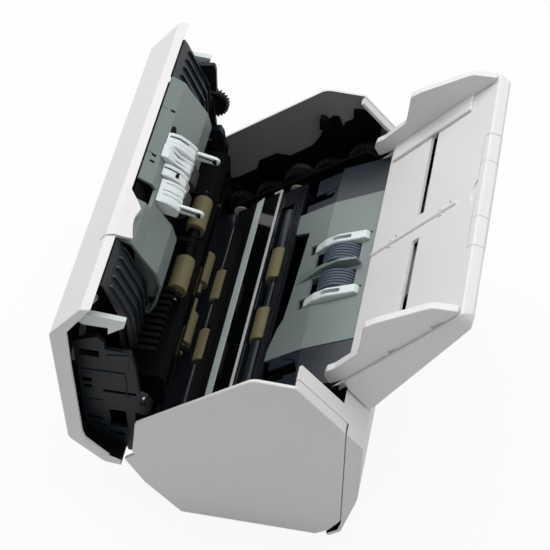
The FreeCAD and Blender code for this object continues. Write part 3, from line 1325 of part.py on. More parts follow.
# ================================================================ input chute
def chute_wall(side):
    """The outline wall at one edge of the chute, solid to its sloping underside."""
    left, right = about_paper(side, CHUTE_HALF - WALL, CHUTE_HALF)
    line = [(0.0, 0.0), (-3.2, -6.9), (-7.0, -27.6), (-2.4, -29.6, 3.0), (106.0, -12.2, 5.0)]
    line += [(CHUTE_LENGTH, -8.0, 5.0), (CHUTE_LENGTH - 3.0, 0.0, 3.0)]
    return prism(placed(line, chute), left, right)


def chute_tongue(side):
    """The tongue under the chute that slides down inside the side frame of the base."""
    tongue_left, tongue_right = about_paper(side, PATH_HALF + 1.4, FRAME_INNER - SEAT)
    return chute_block(tongue_left, tongue_right, -20.0, 6.0, -6.2, -CHUTE_SKIN)


def input_chute():
    """The paper face of the chute with its side walls, slots and centre rib."""
    left = PAPER_X - CHUTE_HALF
    right = PAPER_X + CHUTE_HALF
    face = chute_block(left, right, 0.4, CHUTE_LENGTH - 4.4, -CHUTE_SKIN, 0.0)
    end_line = [(CHUTE_LENGTH - 5.0, -11.0), (CHUTE_LENGTH - 1.2, -9.2, 2.0), (CHUTE_LENGTH, -7.2, 2.0),
                (CHUTE_LENGTH - 3.0, 0.0, 2.0), (CHUTE_LENGTH - 8.0, 0.0), (CHUTE_LENGTH - 8.0, -2.6),
                (CHUTE_LENGTH - 5.0, -2.6)]
    foot_line = [(0.0, 0.0), (-3.2, -6.9), (-1.2, -7.4), (2.4, -2.0), (2.4, 0.0)]
    solids = [face, prism(placed(end_line, chute), left, right), prism(placed(foot_line, chute), left, right)]
    solids.append(softened_rib())
    for along in (18.0, 68.0):
        for x in mirrored_x(2.8):
            solids.append(chute_block(x - 0.6, x + 0.6, along, along + 3.4, -0.5, 0.9))
    for side in (-1, 1):
        solids.append(chute_wall(side))
        solids.append(chute_tongue(side))
    cuts = []
    slot_inner = GUIDE_POST_IN - GUIDE_TRAVEL - 6.2
    slot_outer = GUIDE_POST_IN + GUIDE_POST_WIDE + 2.0
    for side in (-1, 1):
        slot_left, slot_right = about_paper(side, slot_inner, slot_outer)
        cuts.append(chute_block(slot_left, slot_right, SLOT_AT - SLOT_WIDE / 2, SLOT_AT + SLOT_WIDE / 2,
                                -5.0, 1.0))
    room = EXTENSION_HALF + SHUT_LINE
    cuts.append(chute_block(PAPER_X - room, PAPER_X + room, CHUTE_LENGTH - CHUTE_END_BAR, CHUTE_LENGTH + 1,
                            -9.95, 1.0))
    cuts.append(rod_on_chute(PAPER_X, CHUTE_LENGTH - 3.4, 12.0, -1.5, 1.0))
    shaped = less(joined(solids), cuts)
    return shaped.cut(corner_trim(-1)).cut(corner_trim(1))


def softened_rib():
    """The low rounded rib down the middle of the chute."""
    start = chute(0.6, 0.0)
    angle = math.radians(CHUTE_ANGLE)
    way = FreeCAD.Vector(0, math.cos(angle), math.sin(angle))
    rib = Part.makeCylinder(1.5, 84.4, FreeCAD.Vector(PAPER_X, start[0], start[1]), way)
    return rib.common(chute_block(PAPER_X - 2, PAPER_X + 2, 0.0, 90.0, -1.0, 2.0))


def rod_on_chute(x, along, radius, low, high):
    """A round cutter square to the chute face."""
    y, z = chute(along, low)
    angle = math.radians(CHUTE_ANGLE)
    way = FreeCAD.Vector(0, -math.sin(angle), math.cos(angle))
    return Part.makeCylinder(radius, high - low, FreeCAD.Vector(x, y, z), way)


def corner_trim(side):
    """The cutter that rounds one outer corner of the chute in plan."""
    start = CHUTE_LENGTH - CHUTE_CORNER
    left, right = about_paper(side, CHUTE_HALF - CHUTE_CORNER, CHUTE_HALF + 2.0)
    corner_block = chute_block(left, right, start, CHUTE_LENGTH + 6.0, -20.0, 8.0)
    x = PAPER_X + side * (CHUTE_HALF - CHUTE_CORNER)
    return corner_block.cut(rod_on_chute(x, start, CHUTE_CORNER, -21.0, 9.0))


def chute_back():
    """The sloping underside of the chute, between its two walls."""
    line = [(-6.2, -26.4), (-2.4, -29.0, 2.0), (104.0, -12.0)]
    half = CHUTE_HALF - WALL - SEAT
    solids = [sheet(placed(line, chute), 2.0, PAPER_X - half, PAPER_X + half)]
    rib_line = [(4.0, -26.0), (96.0, -11.6), (96.0, -10.2), (4.0, -10.2)]
    for x in mirrored_x(EXTENSION_HALF + 11.0):
        solids.append(prism(placed(rib_line, chute), x - 1.0, x + 1.0))
    front_half = PATH_HALF + 1.0
    front_line = [(-6.2, -26.4), (-3.0, -8.0), (-1.0, -8.0), (-4.2, -26.4)]
    solids.append(prism(placed(front_line, chute), PAPER_X - front_half, PAPER_X + front_half))
    return joined(solids)


def side_guide(side):
    """One tall paper guide with its flat foot and the post that enters the slot."""
    left, right = about_paper(side, GUIDE_WALL_IN, GUIDE_WALL_OUT)
    wall = prism(placed(GUIDE_LINE, chute), left, right)
    foot_left, foot_right = about_paper(side, GUIDE_WALL_IN - GUIDE_FOOT_WIDE, GUIDE_WALL_IN)
    foot = chute_block(foot_left, foot_right, 4.0, 84.0, SEAT, 2.0)
    post_left, post_right = about_paper(side, GUIDE_POST_IN, GUIDE_POST_IN + GUIDE_POST_WIDE)
    post = chute_block(post_left, post_right, SLOT_AT - 3.0, SLOT_AT + 3.0, -3.4, 1.0)
    outer = PAPER_X + side * GUIDE_WALL_OUT
    body = joined([wall, foot, post])
    body = body.makeFillet(0.8, guide_edges(body, outer))
    cuts = []
    notch_left, notch_right = about_paper(side, GUIDE_WALL_OUT - 1.2, GUIDE_WALL_OUT + 1.0)
    for start, end in ((44.0, 50.0), (84.0, 93.0)):
        cuts.append(chute_block(notch_left, notch_right, start, end, 0.0, 3.2))
    return less(body, cuts)


def guide_edges(body, x):
    """The upper edges of one face of a guide."""
    edges = []
    for edge in body.Edges:
        box = edge.BoundBox
        if abs(box.XMin - x) > 0.01 or abs(box.XMax - x) > 0.01:
            continue
        middle = edge.valueAt((edge.FirstParameter + edge.LastParameter) / 2)
        if chute_height(middle) > 4.5:
            edges.append(edge)
    return edges


def chute_height(spot):
    """How far a place stands above the paper face of the chute."""
    angle = math.radians(CHUTE_ANGLE)
    return -(spot.y - CHUTE_FOOT[0]) * math.sin(angle) + (spot.z - CHUTE_FOOT[1]) * math.cos(angle)


def guide_rack(side):
    """The toothed bar under the chute face that belongs to one guide."""
    post_out = GUIDE_POST_IN + GUIDE_POST_WIDE
    left, right = about_paper(side, -10.0, post_out)
    near_line = PINION_RADIUS + 0.4
    bar_start, bar_end = between(side, near_line + 1.6, near_line + 5.0)
    solids = [chute_block(left, right, SLOT_AT + bar_start, SLOT_AT + bar_end, RACK_LOW, RACK_HIGH)]
    tooth_start, tooth_end = between(side, near_line, near_line + 1.7)
    for index in range(int((right - left) / RACK_PITCH)):
        x = left + RACK_PITCH * (index + 0.5)
        solids.append(chute_block(x - 0.65, x + 0.65, SLOT_AT + tooth_start, SLOT_AT + tooth_end, RACK_LOW,
                                  RACK_HIGH))
    head_left, head_right = about_paper(side, GUIDE_POST_IN - 0.4, post_out)
    head_start, head_end = between(side, -3.0, near_line + 5.0)
    solids.append(chute_block(head_left, head_right, SLOT_AT + head_start, SLOT_AT + head_end, RACK_LOW,
                              RACK_HIGH))
    return joined(solids)


def guide_pinion():
    """The small wheel between both racks."""
    teeth = 14
    points = []
    for index in range(teeth):
        for part, radius in ((0.0, PINION_RADIUS - 1.4), (0.25, PINION_RADIUS), (0.5, PINION_RADIUS),
                             (0.75, PINION_RADIUS - 1.4)):
            angle = 2 * math.pi * (index + part) / teeth
            points.append(FreeCAD.Vector(radius * math.cos(angle), radius * math.sin(angle), 0))
    points.append(points[0])
    wheel = Part.Face(Part.makePolygon(points)).extrude(FreeCAD.Vector(0, 0, RACK_HIGH - RACK_LOW - 2 * SEAT))
    wheel = wheel.cut(Part.makeCylinder(PINION_PIN_RADIUS + BEARING_GAP, 10, FreeCAD.Vector(0, 0, -3)))
    wheel.rotate(FreeCAD.Vector(0, 0, 0), FreeCAD.Vector(1, 0, 0), CHUTE_ANGLE)
    y, z = chute(SLOT_AT, RACK_LOW + SEAT)
    wheel.translate(FreeCAD.Vector(PAPER_X, y, z))
    return wheel


def pinion_stud():
    """The stud under the chute face that the small wheel turns on."""
    pin = rod_on_chute(PAPER_X, SLOT_AT, PINION_PIN_RADIUS, RACK_LOW - 0.6, -CHUTE_SKIN)
    head = rod_on_chute(PAPER_X, SLOT_AT, PINION_PIN_RADIUS + 1.1, RACK_LOW - 1.2, RACK_LOW - 0.1)
    return joined([pin, head])


def pull_end(inner, outer):
    """The end block of a pull out tray, which closes the end of the chute."""
    line = [(CHUTE_LENGTH - 8.6, TRAY_LOW), (CHUTE_LENGTH - 1.6, TRAY_LOW, 2.0), (CHUTE_LENGTH, -7.2, 2.0),
            (CHUTE_LENGTH - 3.0, 0.0, 2.0), (CHUTE_LENGTH - 8.6, 0.0)]
    return prism(placed(line, chute), min(inner, outer), max(inner, outer))


def chute_extension():
    """The outer pull out tray with its two end blocks."""
    plate = chute_block(PAPER_X - EXTENSION_HALF, PAPER_X + EXTENSION_HALF, 18.0, CHUTE_LENGTH - 1.5,
                        TRAY_LOW, TRAY_HIGH)
    room = EXTENSION_TIP_HALF + SHUT_LINE
    slot = chute_block(PAPER_X - room, PAPER_X + room, 30.0, CHUTE_LENGTH + 1, TRAY_LOW - 1, TRAY_HIGH + 1)
    blocks = []
    for side in (-1, 1):
        blocks.append(pull_end(PAPER_X + side * room, PAPER_X + side * EXTENSION_HALF))
    return joined([plate.cut(slot)] + blocks)


def extension_tip():
    """The inner pull out tray that runs inside the outer one."""
    half = EXTENSION_TIP_HALF
    plate = chute_block(PAPER_X - half, PAPER_X + half, 34.0, CHUTE_LENGTH - 1.5, TRAY_LOW, TRAY_HIGH)
    return joined([plate, pull_end(PAPER_X - half, PAPER_X + half)])

# ================================================================ the whole machine
def base_pieces():
    """The pieces of the base by name."""
    brackets = [hinge_bracket(1), hinge_bracket(-1), latch_catches()[0]]
    brackets.append(joined([left_gear_case(), gear_case_foot()]))
    brackets.append(latch_catches()[1])
    return {
        "base_pan": base_pan(),
        "rubber_feet": rubber_feet(),
        "side_cover_right": side_cover(1),
        "side_cover_left": side_cover(-1),
        "rear_cover": rear_cover(),
        "side_frame_right": side_frame(1),
        "side_frame_left": joined([side_frame(-1)] + idler_studs()),
        "shaft_bushings": shaft_bushings(),
        "base_brackets": group(brackets),
        "exit_guide_plate": exit_guide_plate(),
        "lower_scan_housing": joined([lower_scan_housing(), exit_deck()]),
        "lower_scan_glass": lower_scan_glass(),
        "lower_white_strip": lower_white_strip(),
        "glass_rail": glass_rail(),
        "feed_deck": feed_deck(),
        "lower_paper_guide": joined([lower_paper_guide(), centre_fin()] + flap_pivots()),
        "deck_wings": group([deck_wing(-1), deck_wing(1)]),
        "paper_flap_right": paper_flap(1),
        "paper_flap_left": paper_flap(-1),
        "main_board": main_board(),
        "rear_sockets": group([power_inlet(), data_socket()]),
    }


def drive_pieces():
    """The driven shafts of the base, their rollers, gears, motor and belt."""
    return {
        "feed_shaft": cross_shaft(FEED_AT),
        "feed_rollers": roller_pair(FEED_AT, FEED_RADIUS, ROLLER_X, ROLLER_LENGTH, 0),
        "feed_sleeves": feed_sleeves(),
        "feed_gear": joined([drive_gear(FEED_AT, FEED_GEAR), feed_pulley()]),
        "exit_shaft": cross_shaft(EXIT_AT),
        "exit_rollers": roller_pair(EXIT_AT, EXIT_RADIUS, ROLLER_X, ROLLER_LENGTH, 0),
        "exit_gear": drive_gear(EXIT_AT, EXIT_GEAR),
        "pick_shaft": cross_shaft(PICK_AT),
        "pick_rollers": roller_pair(PICK_AT, PICK_RADIUS, PICK_X, PICK_LENGTH, 5),
        "pick_gear": drive_gear(PICK_AT, PICK_GEAR),
        "idler_gear_front": idler_gear(IDLER_FRONT_AT),
        "idler_gear_rear": idler_gear(IDLER_REAR_AT),
        "drive_motor": drive_motor(),
        "motor_shaft": motor_shaft(),
        "drive_belt": drive_belt(),
    }


def chute_pieces():
    """The pieces of the input chute by name."""
    return {
        "input_chute": joined([input_chute(), pinion_stud()]),
        "chute_back": chute_back(),
        "side_guide_right": joined([side_guide(1), guide_rack(1)]),
        "side_guide_left": joined([side_guide(-1), guide_rack(-1)]),
        "guide_pinion": guide_pinion(),
        "chute_extension": chute_extension(),
        "extension_tip": extension_tip(),
    }


def cover_pieces():
    """The pieces of the cover by name, drawn shut."""
    left_end = joined([cover_end_plate(-1), cover_gear_stud(), left_block(), left_low_block()])
    brake = [cover_shaft(brake_at(), 21.0)]
    brake += cover_rollers(brake_at(), BRAKE_RADIUS, PICK_X - 0.5, BRAKE_LENGTH).Solids
    exit_pinch = [cover_shaft(EXIT_PINCH_AT, PINCH_HALF)]
    exit_pinch += cover_rollers(EXIT_PINCH_AT, EXIT_PINCH_RADIUS, ROLLER_X, ROLLER_LENGTH).Solids
    return {
        "cover_shell": joined([cover_shell()] + latch_ears()),
        "cover_frame": joined([cover_frame(), tooth_strip()] + pinch_hangers()),
        "cover_end_plates": group([cover_end_plate(1), left_end]),
        "pinch_shaft": cover_shaft(PINCH_AT, PINCH_HALF),
        "pinch_rollers": cover_rollers(PINCH_AT, PINCH_RADIUS, ROLLER_X, ROLLER_LENGTH),
        "exit_pinch_rollers": joined(exit_pinch),
        "brake_rollers": joined(brake),
        "retard_covers": retard_covers(),
        "upper_scan_housing": upper_scan_housing(),
        "upper_scan_glass": upper_scan_glass(),
        "upper_paper_guides": upper_paper_guides(),
        "ribbed_guides": group([ribbed_guide(-1), ribbed_guide(1)]),
        "cover_gear": cover_gear(),
        "latch_hooks": joined([latch_shaft()] + latch_hooks()),
        "release_tab": release_tab(),
        "power_button": button(BUTTON_XS[0]),
        "start_button": button(BUTTON_XS[1]),
    }


def build_pieces():
    """Every piece by name, the cover's own pieces swung open."""
    pieces = {}
    pieces.update(base_pieces())
    pieces.update(drive_pieces())
    pieces.update(chute_pieces())
    cover = cover_pieces()
    for name in cover:
        pieces[name] = opened(cover[name])
    return pieces


def seat_centre(pieces):
    """The middle of the machine's footprint at the height of its feet."""
    box = FreeCAD.BoundBox()
    for name in pieces:
        box.add(pieces[name].optimalBoundingBox(False, False))
    return FreeCAD.Vector(-(box.XMin + box.XMax) / 2, -(box.YMin + box.YMax) / 2, -box.ZMin), box


def write_pieces():
    """Write one file for each piece, moved so the machine stands on its origin."""
    os.makedirs("parts", exist_ok=True)
    pieces = build_pieces()
    shift, box = seat_centre(pieces)
    print("shift", round(shift.x, 4), round(shift.y, 4), round(shift.z, 4))
    print("size", round(box.XLength, 2), round(box.YLength, 2), round(box.ZLength, 2))
    for name in pieces:
        shape = pieces[name]
        shape.translate(shift)
        shape.exportStep("parts/" + name + ".step")
        if not shape.isValid():
            print("not sound:", name)


write_pieces()
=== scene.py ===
import bpy
import bmesh
import json
import math
from mathutils import Matrix, Vector


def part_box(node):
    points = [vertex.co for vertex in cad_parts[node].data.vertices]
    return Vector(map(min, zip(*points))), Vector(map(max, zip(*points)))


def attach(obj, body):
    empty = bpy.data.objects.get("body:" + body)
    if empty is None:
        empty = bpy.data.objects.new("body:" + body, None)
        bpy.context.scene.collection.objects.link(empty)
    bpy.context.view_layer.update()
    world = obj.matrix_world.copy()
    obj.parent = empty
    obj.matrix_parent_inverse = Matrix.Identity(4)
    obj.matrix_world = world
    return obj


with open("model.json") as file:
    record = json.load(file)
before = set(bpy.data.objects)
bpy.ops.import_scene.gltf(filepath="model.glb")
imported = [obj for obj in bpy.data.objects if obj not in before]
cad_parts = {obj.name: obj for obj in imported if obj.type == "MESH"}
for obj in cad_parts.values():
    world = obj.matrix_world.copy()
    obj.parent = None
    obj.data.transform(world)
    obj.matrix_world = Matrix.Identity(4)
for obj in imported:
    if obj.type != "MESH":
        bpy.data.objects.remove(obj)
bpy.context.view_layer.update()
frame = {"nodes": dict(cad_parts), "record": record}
NODES = frame["nodes"]

# ---------------------------------------------------------------- places on the machine
# Sizes are in millimetres from the case's own corner and become metres at the end.
CASE_DEPTH = 0.158
case_low, case_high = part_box("side_cover_right")
CASE_REAR = case_high.y - CASE_DEPTH
CASE_FLOOR = case_low.z
CASE_SIDE = case_high.x * 1000
WALL = 2.5
PATH_START = (31.4, 45.3)
PATH_ANGLE = 38.0
CHUTE_FOOT = (151.1, 134.3)
CHUTE_ANGLE = 49.7
HINGE = (16.3, 49.8)
HINGE_ON_PATH = (-9.1, 12.8)
OPEN_ANGLE = 53.4
PAPER_X = -5.0
# The outline of the shut cover seen from its end, skin side first and then its inner rim.
COVER_PROFILE = [(3.3, 57.9), (-2.7, 68.4), (0.4, 101.0), (84.5, 169.7), (121.3, 168.7), (126.6, 163.8),
                 (94.5, 162.2), (67.0, 140.9), (12.6, 96.9), (8.6, 91.6), (5.2, 69.5)]


def spot(x, y, z):
    """A place in metres from millimetres on the case."""
    return Vector((x / 1000, y / 1000 + CASE_REAR, z / 1000 + CASE_FLOOR))


def on_case(point):
    """The (y, z) millimetres on the case of a place in metres."""
    return (point.y - CASE_REAR) * 1000, (point.z - CASE_FLOOR) * 1000


def swung(y, z, degrees):
    """A place turned about the hinge of the cover."""
    turn = math.radians(degrees)
    dy, dz = y - HINGE[0], z - HINGE[1]
    return (HINGE[0] + dy * math.cos(turn) - dz * math.sin(turn),
            HINGE[1] + dy * math.sin(turn) + dz * math.cos(turn))


def sloping(start, degrees, x, along, above):
    """A place given along and above a sloping plane."""
    turn = math.radians(degrees)
    y = start[0] + along * math.cos(turn) - above * math.sin(turn)
    z = start[1] + along * math.sin(turn) + above * math.cos(turn)
    return x, y, z


def on_chute(x, along, above):
    """A place up the input chute."""
    return spot(*sloping(CHUTE_FOOT, CHUTE_ANGLE, x, along, above))


def in_cover(x, along, above):
    """A place inside the open cover, given as if the cover were shut."""
    x, y, z = sloping(PATH_START, PATH_ANGLE, x, along, above)
    return spot(x, *swung(y, z, OPEN_ANGLE))


# ---------------------------------------------------------------- colours and finishes
def tint(code):
    """A hex colour as linear light."""
    values = [int(code[i:i + 2], 16) / 255 for i in (1, 3, 5)]
    return [v / 12.92 if v <= 0.04045 else ((v + 0.055) / 1.055) ** 2.4 for v in values] + [1.0]


def add(tree, kind, settings=None, **sockets):
    """One node; each socket is a value or another node's output."""
    made = tree.nodes.new(kind)
    for name, value in (settings or {}).items():
        setattr(made, name, value)
    for name, value in sockets.items():
        key = name.replace("_", " ")
        socket = made.inputs[int(key[1:])] if key[0] == "i" and key[1:].isdigit() else made.inputs[key]
        if isinstance(value, bpy.types.NodeSocket):
            tree.links.new(value, socket)
        else:
            socket.default_value = value
    return made


def clear_tree(owner):
    """The empty node tree of a material or world."""
    owner.use_nodes = True
    owner.node_tree.nodes.clear()
    return owner.node_tree


CLOUD_SCALE = 38.0
COAT_ROUGH = 0.12
EDGE_MM = 0.35


def finish(name, colour, rough, grain_mm=0.6, grain=0.1, mottle=0.04, smear=0.05, metal=0.0,
           specular=0.5, coat=0.0, stretch=(1, 1, 1)):
    """A solid surface: faint clouding in its colour and sheen, fine grain, and softened edges."""
    material = bpy.data.materials.new(name)
    tree = clear_tree(material)
    place = add(tree, "ShaderNodeTexCoord").outputs["Object"]
    spread = add(tree, "ShaderNodeMapping", Vector=place, Scale=stretch).outputs["Vector"]
    cloud = add(tree, "ShaderNodeTexNoise", Vector=spread, Scale=CLOUD_SCALE, Detail=4.0, Roughness=0.55)
    fine = add(tree, "ShaderNodeTexNoise", Vector=spread, Scale=1000.0 / grain_mm,
               Detail=2.0, Roughness=0.6)
    base = tint(colour)
    dark = [c * (1 - mottle) for c in base[:3]] + [1]
    light = [min(c * (1 + mottle), 1) for c in base[:3]] + [1]
    shade = add(tree, "ShaderNodeMix", {"data_type": "RGBA"}, i0=cloud.outputs["Fac"], i6=dark, i7=light)
    sheen = add(tree, "ShaderNodeMapRange", Value=cloud.outputs["Fac"],
                To_Min=rough - smear, To_Max=rough + smear)
    rounded = add(tree, "ShaderNodeBevel", {"samples": 4}, Radius=EDGE_MM / 1000)
    relief = add(tree, "ShaderNodeBump", Strength=grain, Distance=grain_mm / 4000,
                 Height=fine.outputs["Fac"], Normal=rounded.outputs["Normal"])
    shader = add(tree, "ShaderNodeBsdfPrincipled", Base_Color=shade.outputs[2], Metallic=metal,
                 Roughness=sheen.outputs["Result"], Normal=relief.outputs["Normal"])
    shader.inputs["Specular IOR Level"].default_value = specular
    shader.inputs["Coat Weight"].default_value = coat
    shader.inputs["Coat Roughness"].default_value = COAT_ROUGH
    add(tree, "ShaderNodeOutputMaterial", Surface=shader.outputs["BSDF"])
    return material


FINISHES = {
    # Moulded ABS with a fine spark texture: pale, even, with broad soft highlights.
    "case_plastic": finish("warm grey case plastic", "#DEDCDC", 0.48, grain_mm=0.5, grain=0.08, mottle=0.01),
    # The same plastic from a smoother tool, worn by sliding paper: a touch glossier, and a touch lighter
    # than the case plastic as painted light on the chute's face.
    "chute_plastic": finish("smooth chute plastic", "#E3E1E1", 0.42, grain_mm=0.5, grain=0.05, mottle=0.012),
    # Glass filled black plastic with a coarse tool texture: it scatters light and reads near black.
    "black_plastic": finish("black frame plastic", "#060708", 0.55, grain_mm=0.8, grain=0.25, mottle=0.2,
                            specular=0.06),
    # Polished blue black plastic over which the sheets slide: dark, with clear streaks of light.
    "deck_plastic": finish("blue black deck plastic", "#12151B", 0.24, grain_mm=0.8, grain=0.06, mottle=0.15,
                           specular=0.45, coat=0.1),
    # Grey green low friction plastic: satin, slightly clouded by wear.
    "guide_plastic": finish("grey green guide plastic", "#6F7B79", 0.36, grain_mm=0.6, grain=0.08,
                            mottle=0.04),
    # The same kind of plastic in dark blue grey.
    "wing_plastic": finish("blue grey deck plastic", "#1D242C", 0.34, grain_mm=0.6, grain=0.08, mottle=0.08,
                           specular=0.4),
    # Acetal: milky white, waxy and smooth.
    "white_plastic": finish("white slip plastic", "#D3DBDB", 0.34, grain_mm=0.6, grain=0.04, mottle=0.02),
    # Ground rubber tyres: matt, olive tan, with a fine ground grain.
    "tan_rubber": finish("tan roller rubber", "#6C6549", 0.66, grain_mm=0.5, grain=0.35, mottle=0.08,
                         smear=0.03, specular=0.35),
    # Softer grooved rubber that has taken up some dust: matt blue grey.
    "grey_rubber": finish("blue grey pick rubber", "#454F5E", 0.58, grain_mm=0.5, grain=0.35, mottle=0.08,
                          smear=0.03, specular=0.4),
    # Plain black rubber: dull and soft.
    "dark_rubber": finish("dark rubber", "#161616", 0.72, grain_mm=0.5, grain=0.35, mottle=0.1, smear=0.03),
    # Centreless ground steel: bright, with fine marks round the bar.
    "shaft_steel": finish("ground shaft steel", "#B4B6B7", 0.24, grain_mm=0.3, grain=0.12, mottle=0.05,
                          metal=1.0, stretch=(6, 1, 1)),
    # Thin glass over a black trough: black, sharp reflections, almost no grain.
    "sensor_glass": finish("dark sensor glass", "#07090A", 0.07, grain_mm=2.0, grain=0.01, mottle=0.05,
                           smear=0.02),
    # Injection moulded black acetal gears: satin with slight flow clouding.
    "gear_plastic": finish("moulded gear plastic", "#0B0C0E", 0.42, grain_mm=0.8, grain=0.12, mottle=0.15,
                           specular=0.35),
    # Oil filled bearing plastic: cream, satin.
    "bush_plastic": finish("cream bearing plastic", "#A9A496", 0.4, grain_mm=0.8, grain=0.1, mottle=0.05),
    # Green solder coat on board: glossy and slightly mottled by the tracks below.
    "board_green": finish("coated board", "#1F5A34", 0.3, grain_mm=0.8, grain=0.08, mottle=0.12),
    # Black painted sheet steel can.
    "motor_metal": finish("painted motor can", "#1C1D20", 0.4, grain_mm=0.8, grain=0.1, mottle=0.1),
    # Darker grey on the inward faces of the side covers: painted shade inside the case, matt and a little
    # uneven.
    "inner_wall_shade": finish("painted shade grey inner wall", "#7B7C7C", 0.62, grain_mm=0.8, grain=0.2, mottle=0.12),
    # Moulded white plastic strip dulled by passing sheets: satin and slightly green.
    "strip_plastic": finish("grey white backing strip", "#BAC6C3", 0.32, grain_mm=0.8, grain=0.05,
                            mottle=0.05),
    # The rail's pale silver grey colour is a painted reflection, with its grain drawn out along its length:
    # pale, satin, even from any side.
    "rail_painted_reflection": finish("glass rail with painted reflection", "#C9CBCA", 0.34, grain_mm=0.5, grain=0.08, mottle=0.05,
                          specular=0.6, stretch=(0.1, 1, 1)),
    # The end plates of the cover: the same black with a little blue in it and a smoother face.
    "plate_plastic": finish("blue black end plate", "#10161B", 0.45, grain_mm=0.8, grain=0.15, mottle=0.15,
                            specular=0.2),
    # Slate coloured guide plastic, satin like its grey green neighbour.
    "slate_plastic": finish("slate end guide plastic", "#191D22", 0.38, grain_mm=0.6, grain=0.08, mottle=0.1,
                            specular=0.4),
}

# Pieces whose finish differs from the one their slot asks for, and the slot of an added finish.
# The glass rail takes a pale finish that is its painted reflection.
OWN_FINISH = {"lower_white_strip": "strip_plastic", "glass_rail": "rail_painted_reflection",
              "ribbed_guides": "slate_plastic", "brake_rollers": "dark_rubber",
              "cover_end_plates": "plate_plastic"}
CAD_SHARP = math.radians(32)


def smoothed(mesh, sharp):
    """Shades a mesh smooth except at edges sharper than one angle."""
    for face in mesh.polygons:
        face.use_smooth = True
    mesh.set_sharp_from_angle(angle=sharp)


for entry in frame["record"]["subparts"]:
    name = entry["node"]
    mesh = NODES[name].data
    mesh.materials.clear()
    mesh.materials.append(FINISHES[OWN_FINISH.get(name, entry["material_slot"])])
    smoothed(mesh, CAD_SHARP)


# ---------------------------------------------------------------- painted shade: hidden faces made darker
def paint_shade(name, finish_key, chosen):
    """Paints shade on the faces of one node that a test picks out, as a second and darker finish."""
    mesh = NODES[name].data
    mesh.materials.append(FINISHES[finish_key])
    for face in mesh.polygons:
        if chosen(face):
            face.material_index = 1


def within(outline, y, z):
    """Whether a place lies inside an outline of (y, z) corners."""
    inside = False
    for (y1, z1), (y2, z2) in zip(outline, outline[1:] + outline[:1]):
        if (z1 > z) != (z2 > z) and y < y1 + (z - z1) * (y2 - y1) / (z2 - z1):
            inside = not inside
    return inside


# How far a direction leans to one side before a face counts as turned that way.
FACING = 0.3
SQUARE_ON = 0.9
INNER_FACE_BAND = 0.2
UNDER_PAPER = -1.2


def faces_inward(inner_face, towards):
    """A test for the inward face of a side cover at one place across the machine."""
    def test(face):
        level = abs(face.center.x * 1000 - inner_face) < INNER_FACE_BAND
        return face.normal.x * towards > SQUARE_ON and level
    return test


COVER_PROBE = 0.003
COVER_LOW_LIP = (4.6, 76.0)


def inside_cover(face):
    """Whether a face of the cover's shell looks into the cover or lies on its low inner lip."""
    probe = face.center + face.normal * COVER_PROBE
    y, z = swung(*on_case(probe), -OPEN_ANGLE)
    low_lip = y > COVER_LOW_LIP[0] and z < COVER_LOW_LIP[1]
    return abs(probe.x) * 1000 < CASE_SIDE - 1.0 and (within(COVER_PROFILE, y, z) or low_lip)


def under_chute(face):
    """Whether a face lies below the paper face of the chute."""
    y, z = on_case(face.center)
    turn = math.radians(CHUTE_ANGLE)
    above = (z - CHUTE_FOOT[1]) * math.cos(turn) - (y - CHUTE_FOOT[0]) * math.sin(turn)
    return above < UNDER_PAPER


def looks_up_chute(face):
    """Whether a face of the chute's back looks up through its slots."""
    turn = math.radians(CHUTE_ANGLE)
    facing = face.normal.z * math.cos(turn) - face.normal.y * math.sin(turn)
    return under_chute(face) and facing > FACING


INSIDE_HIGH = 0.13
# The inward faces of both side covers take a darker grey: painted shade.
paint_shade("side_cover_left", "inner_wall_shade", faces_inward(WALL - CASE_SIDE, 1))
paint_shade("side_cover_right", "inner_wall_shade", faces_inward(CASE_SIDE - WALL, -1))
# Painted shade: the inside of the cover's shell and its low inner lip are made black.
paint_shade("cover_shell", "black_plastic", inside_cover)
# Painted shade: the upward faces of the base pan, seen through the gaps in the deck, are made black.
paint_shade("base_pan", "black_plastic", lambda face: face.normal.z > FACING)
# Painted shade: the low faces of the rear cover that look into the machine are made black.
paint_shade("rear_cover", "black_plastic",
         lambda face: face.normal.y < -FACING and face.center.z < CASE_FLOOR + INSIDE_HIGH)
# Painted shade: the back of the chute where it is seen up through its slots, and the side guides below the
# chute's face, are made black.
paint_shade("chute_back", "black_plastic", looks_up_chute)
paint_shade("side_guide_right", "black_plastic", under_chute)
paint_shade("side_guide_left", "black_plastic", under_chute)


# ---------------------------------------------------------------- making small pieces
def in_scene(name, data):
    """A new object in the scene."""
    made = bpy.data.objects.new(name, data)
    bpy.context.scene.collection.objects.link(made)
    return made


def meshed(name, build):
    """A finished mesh from a bmesh build."""
    mesh = bpy.data.meshes.new(name)
    build.to_mesh(mesh)
    build.free()
    return mesh


ROUND_STEPS = 3
ROUND_ANGLE = math.radians(35)
PIECE_SHARP = math.radians(50)


def piece(name, body, finish_key, rings, round_mm):
    """A solid through rings of corners, softened along its edges, that rides on one body."""
    build = bmesh.new()
    loops = [[build.verts.new(corner) for corner in ring] for ring in rings]
    count = len(loops[0])
    for first, second in zip(loops, loops[1:]):
        for i in range(count):
            build.faces.new((first[i], first[(i + 1) % count], second[(i + 1) % count], second[i]))
    build.faces.new(list(reversed(loops[0])))
    build.faces.new(loops[-1])
    bmesh.ops.recalc_face_normals(build, faces=build.faces)
    mesh = meshed(name, build)
    holder = in_scene(name, mesh)
    mesh.materials.append(FINISHES[finish_key])
    if round_mm:
        soft = holder.modifiers.new("softened edges", "BEVEL")
        soft.width = round_mm / 1000
        soft.segments = ROUND_STEPS
        soft.limit_method = "ANGLE"
        soft.angle_limit = ROUND_ANGLE
    smoothed(mesh, PIECE_SHARP)
    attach(holder, body)
    return holder


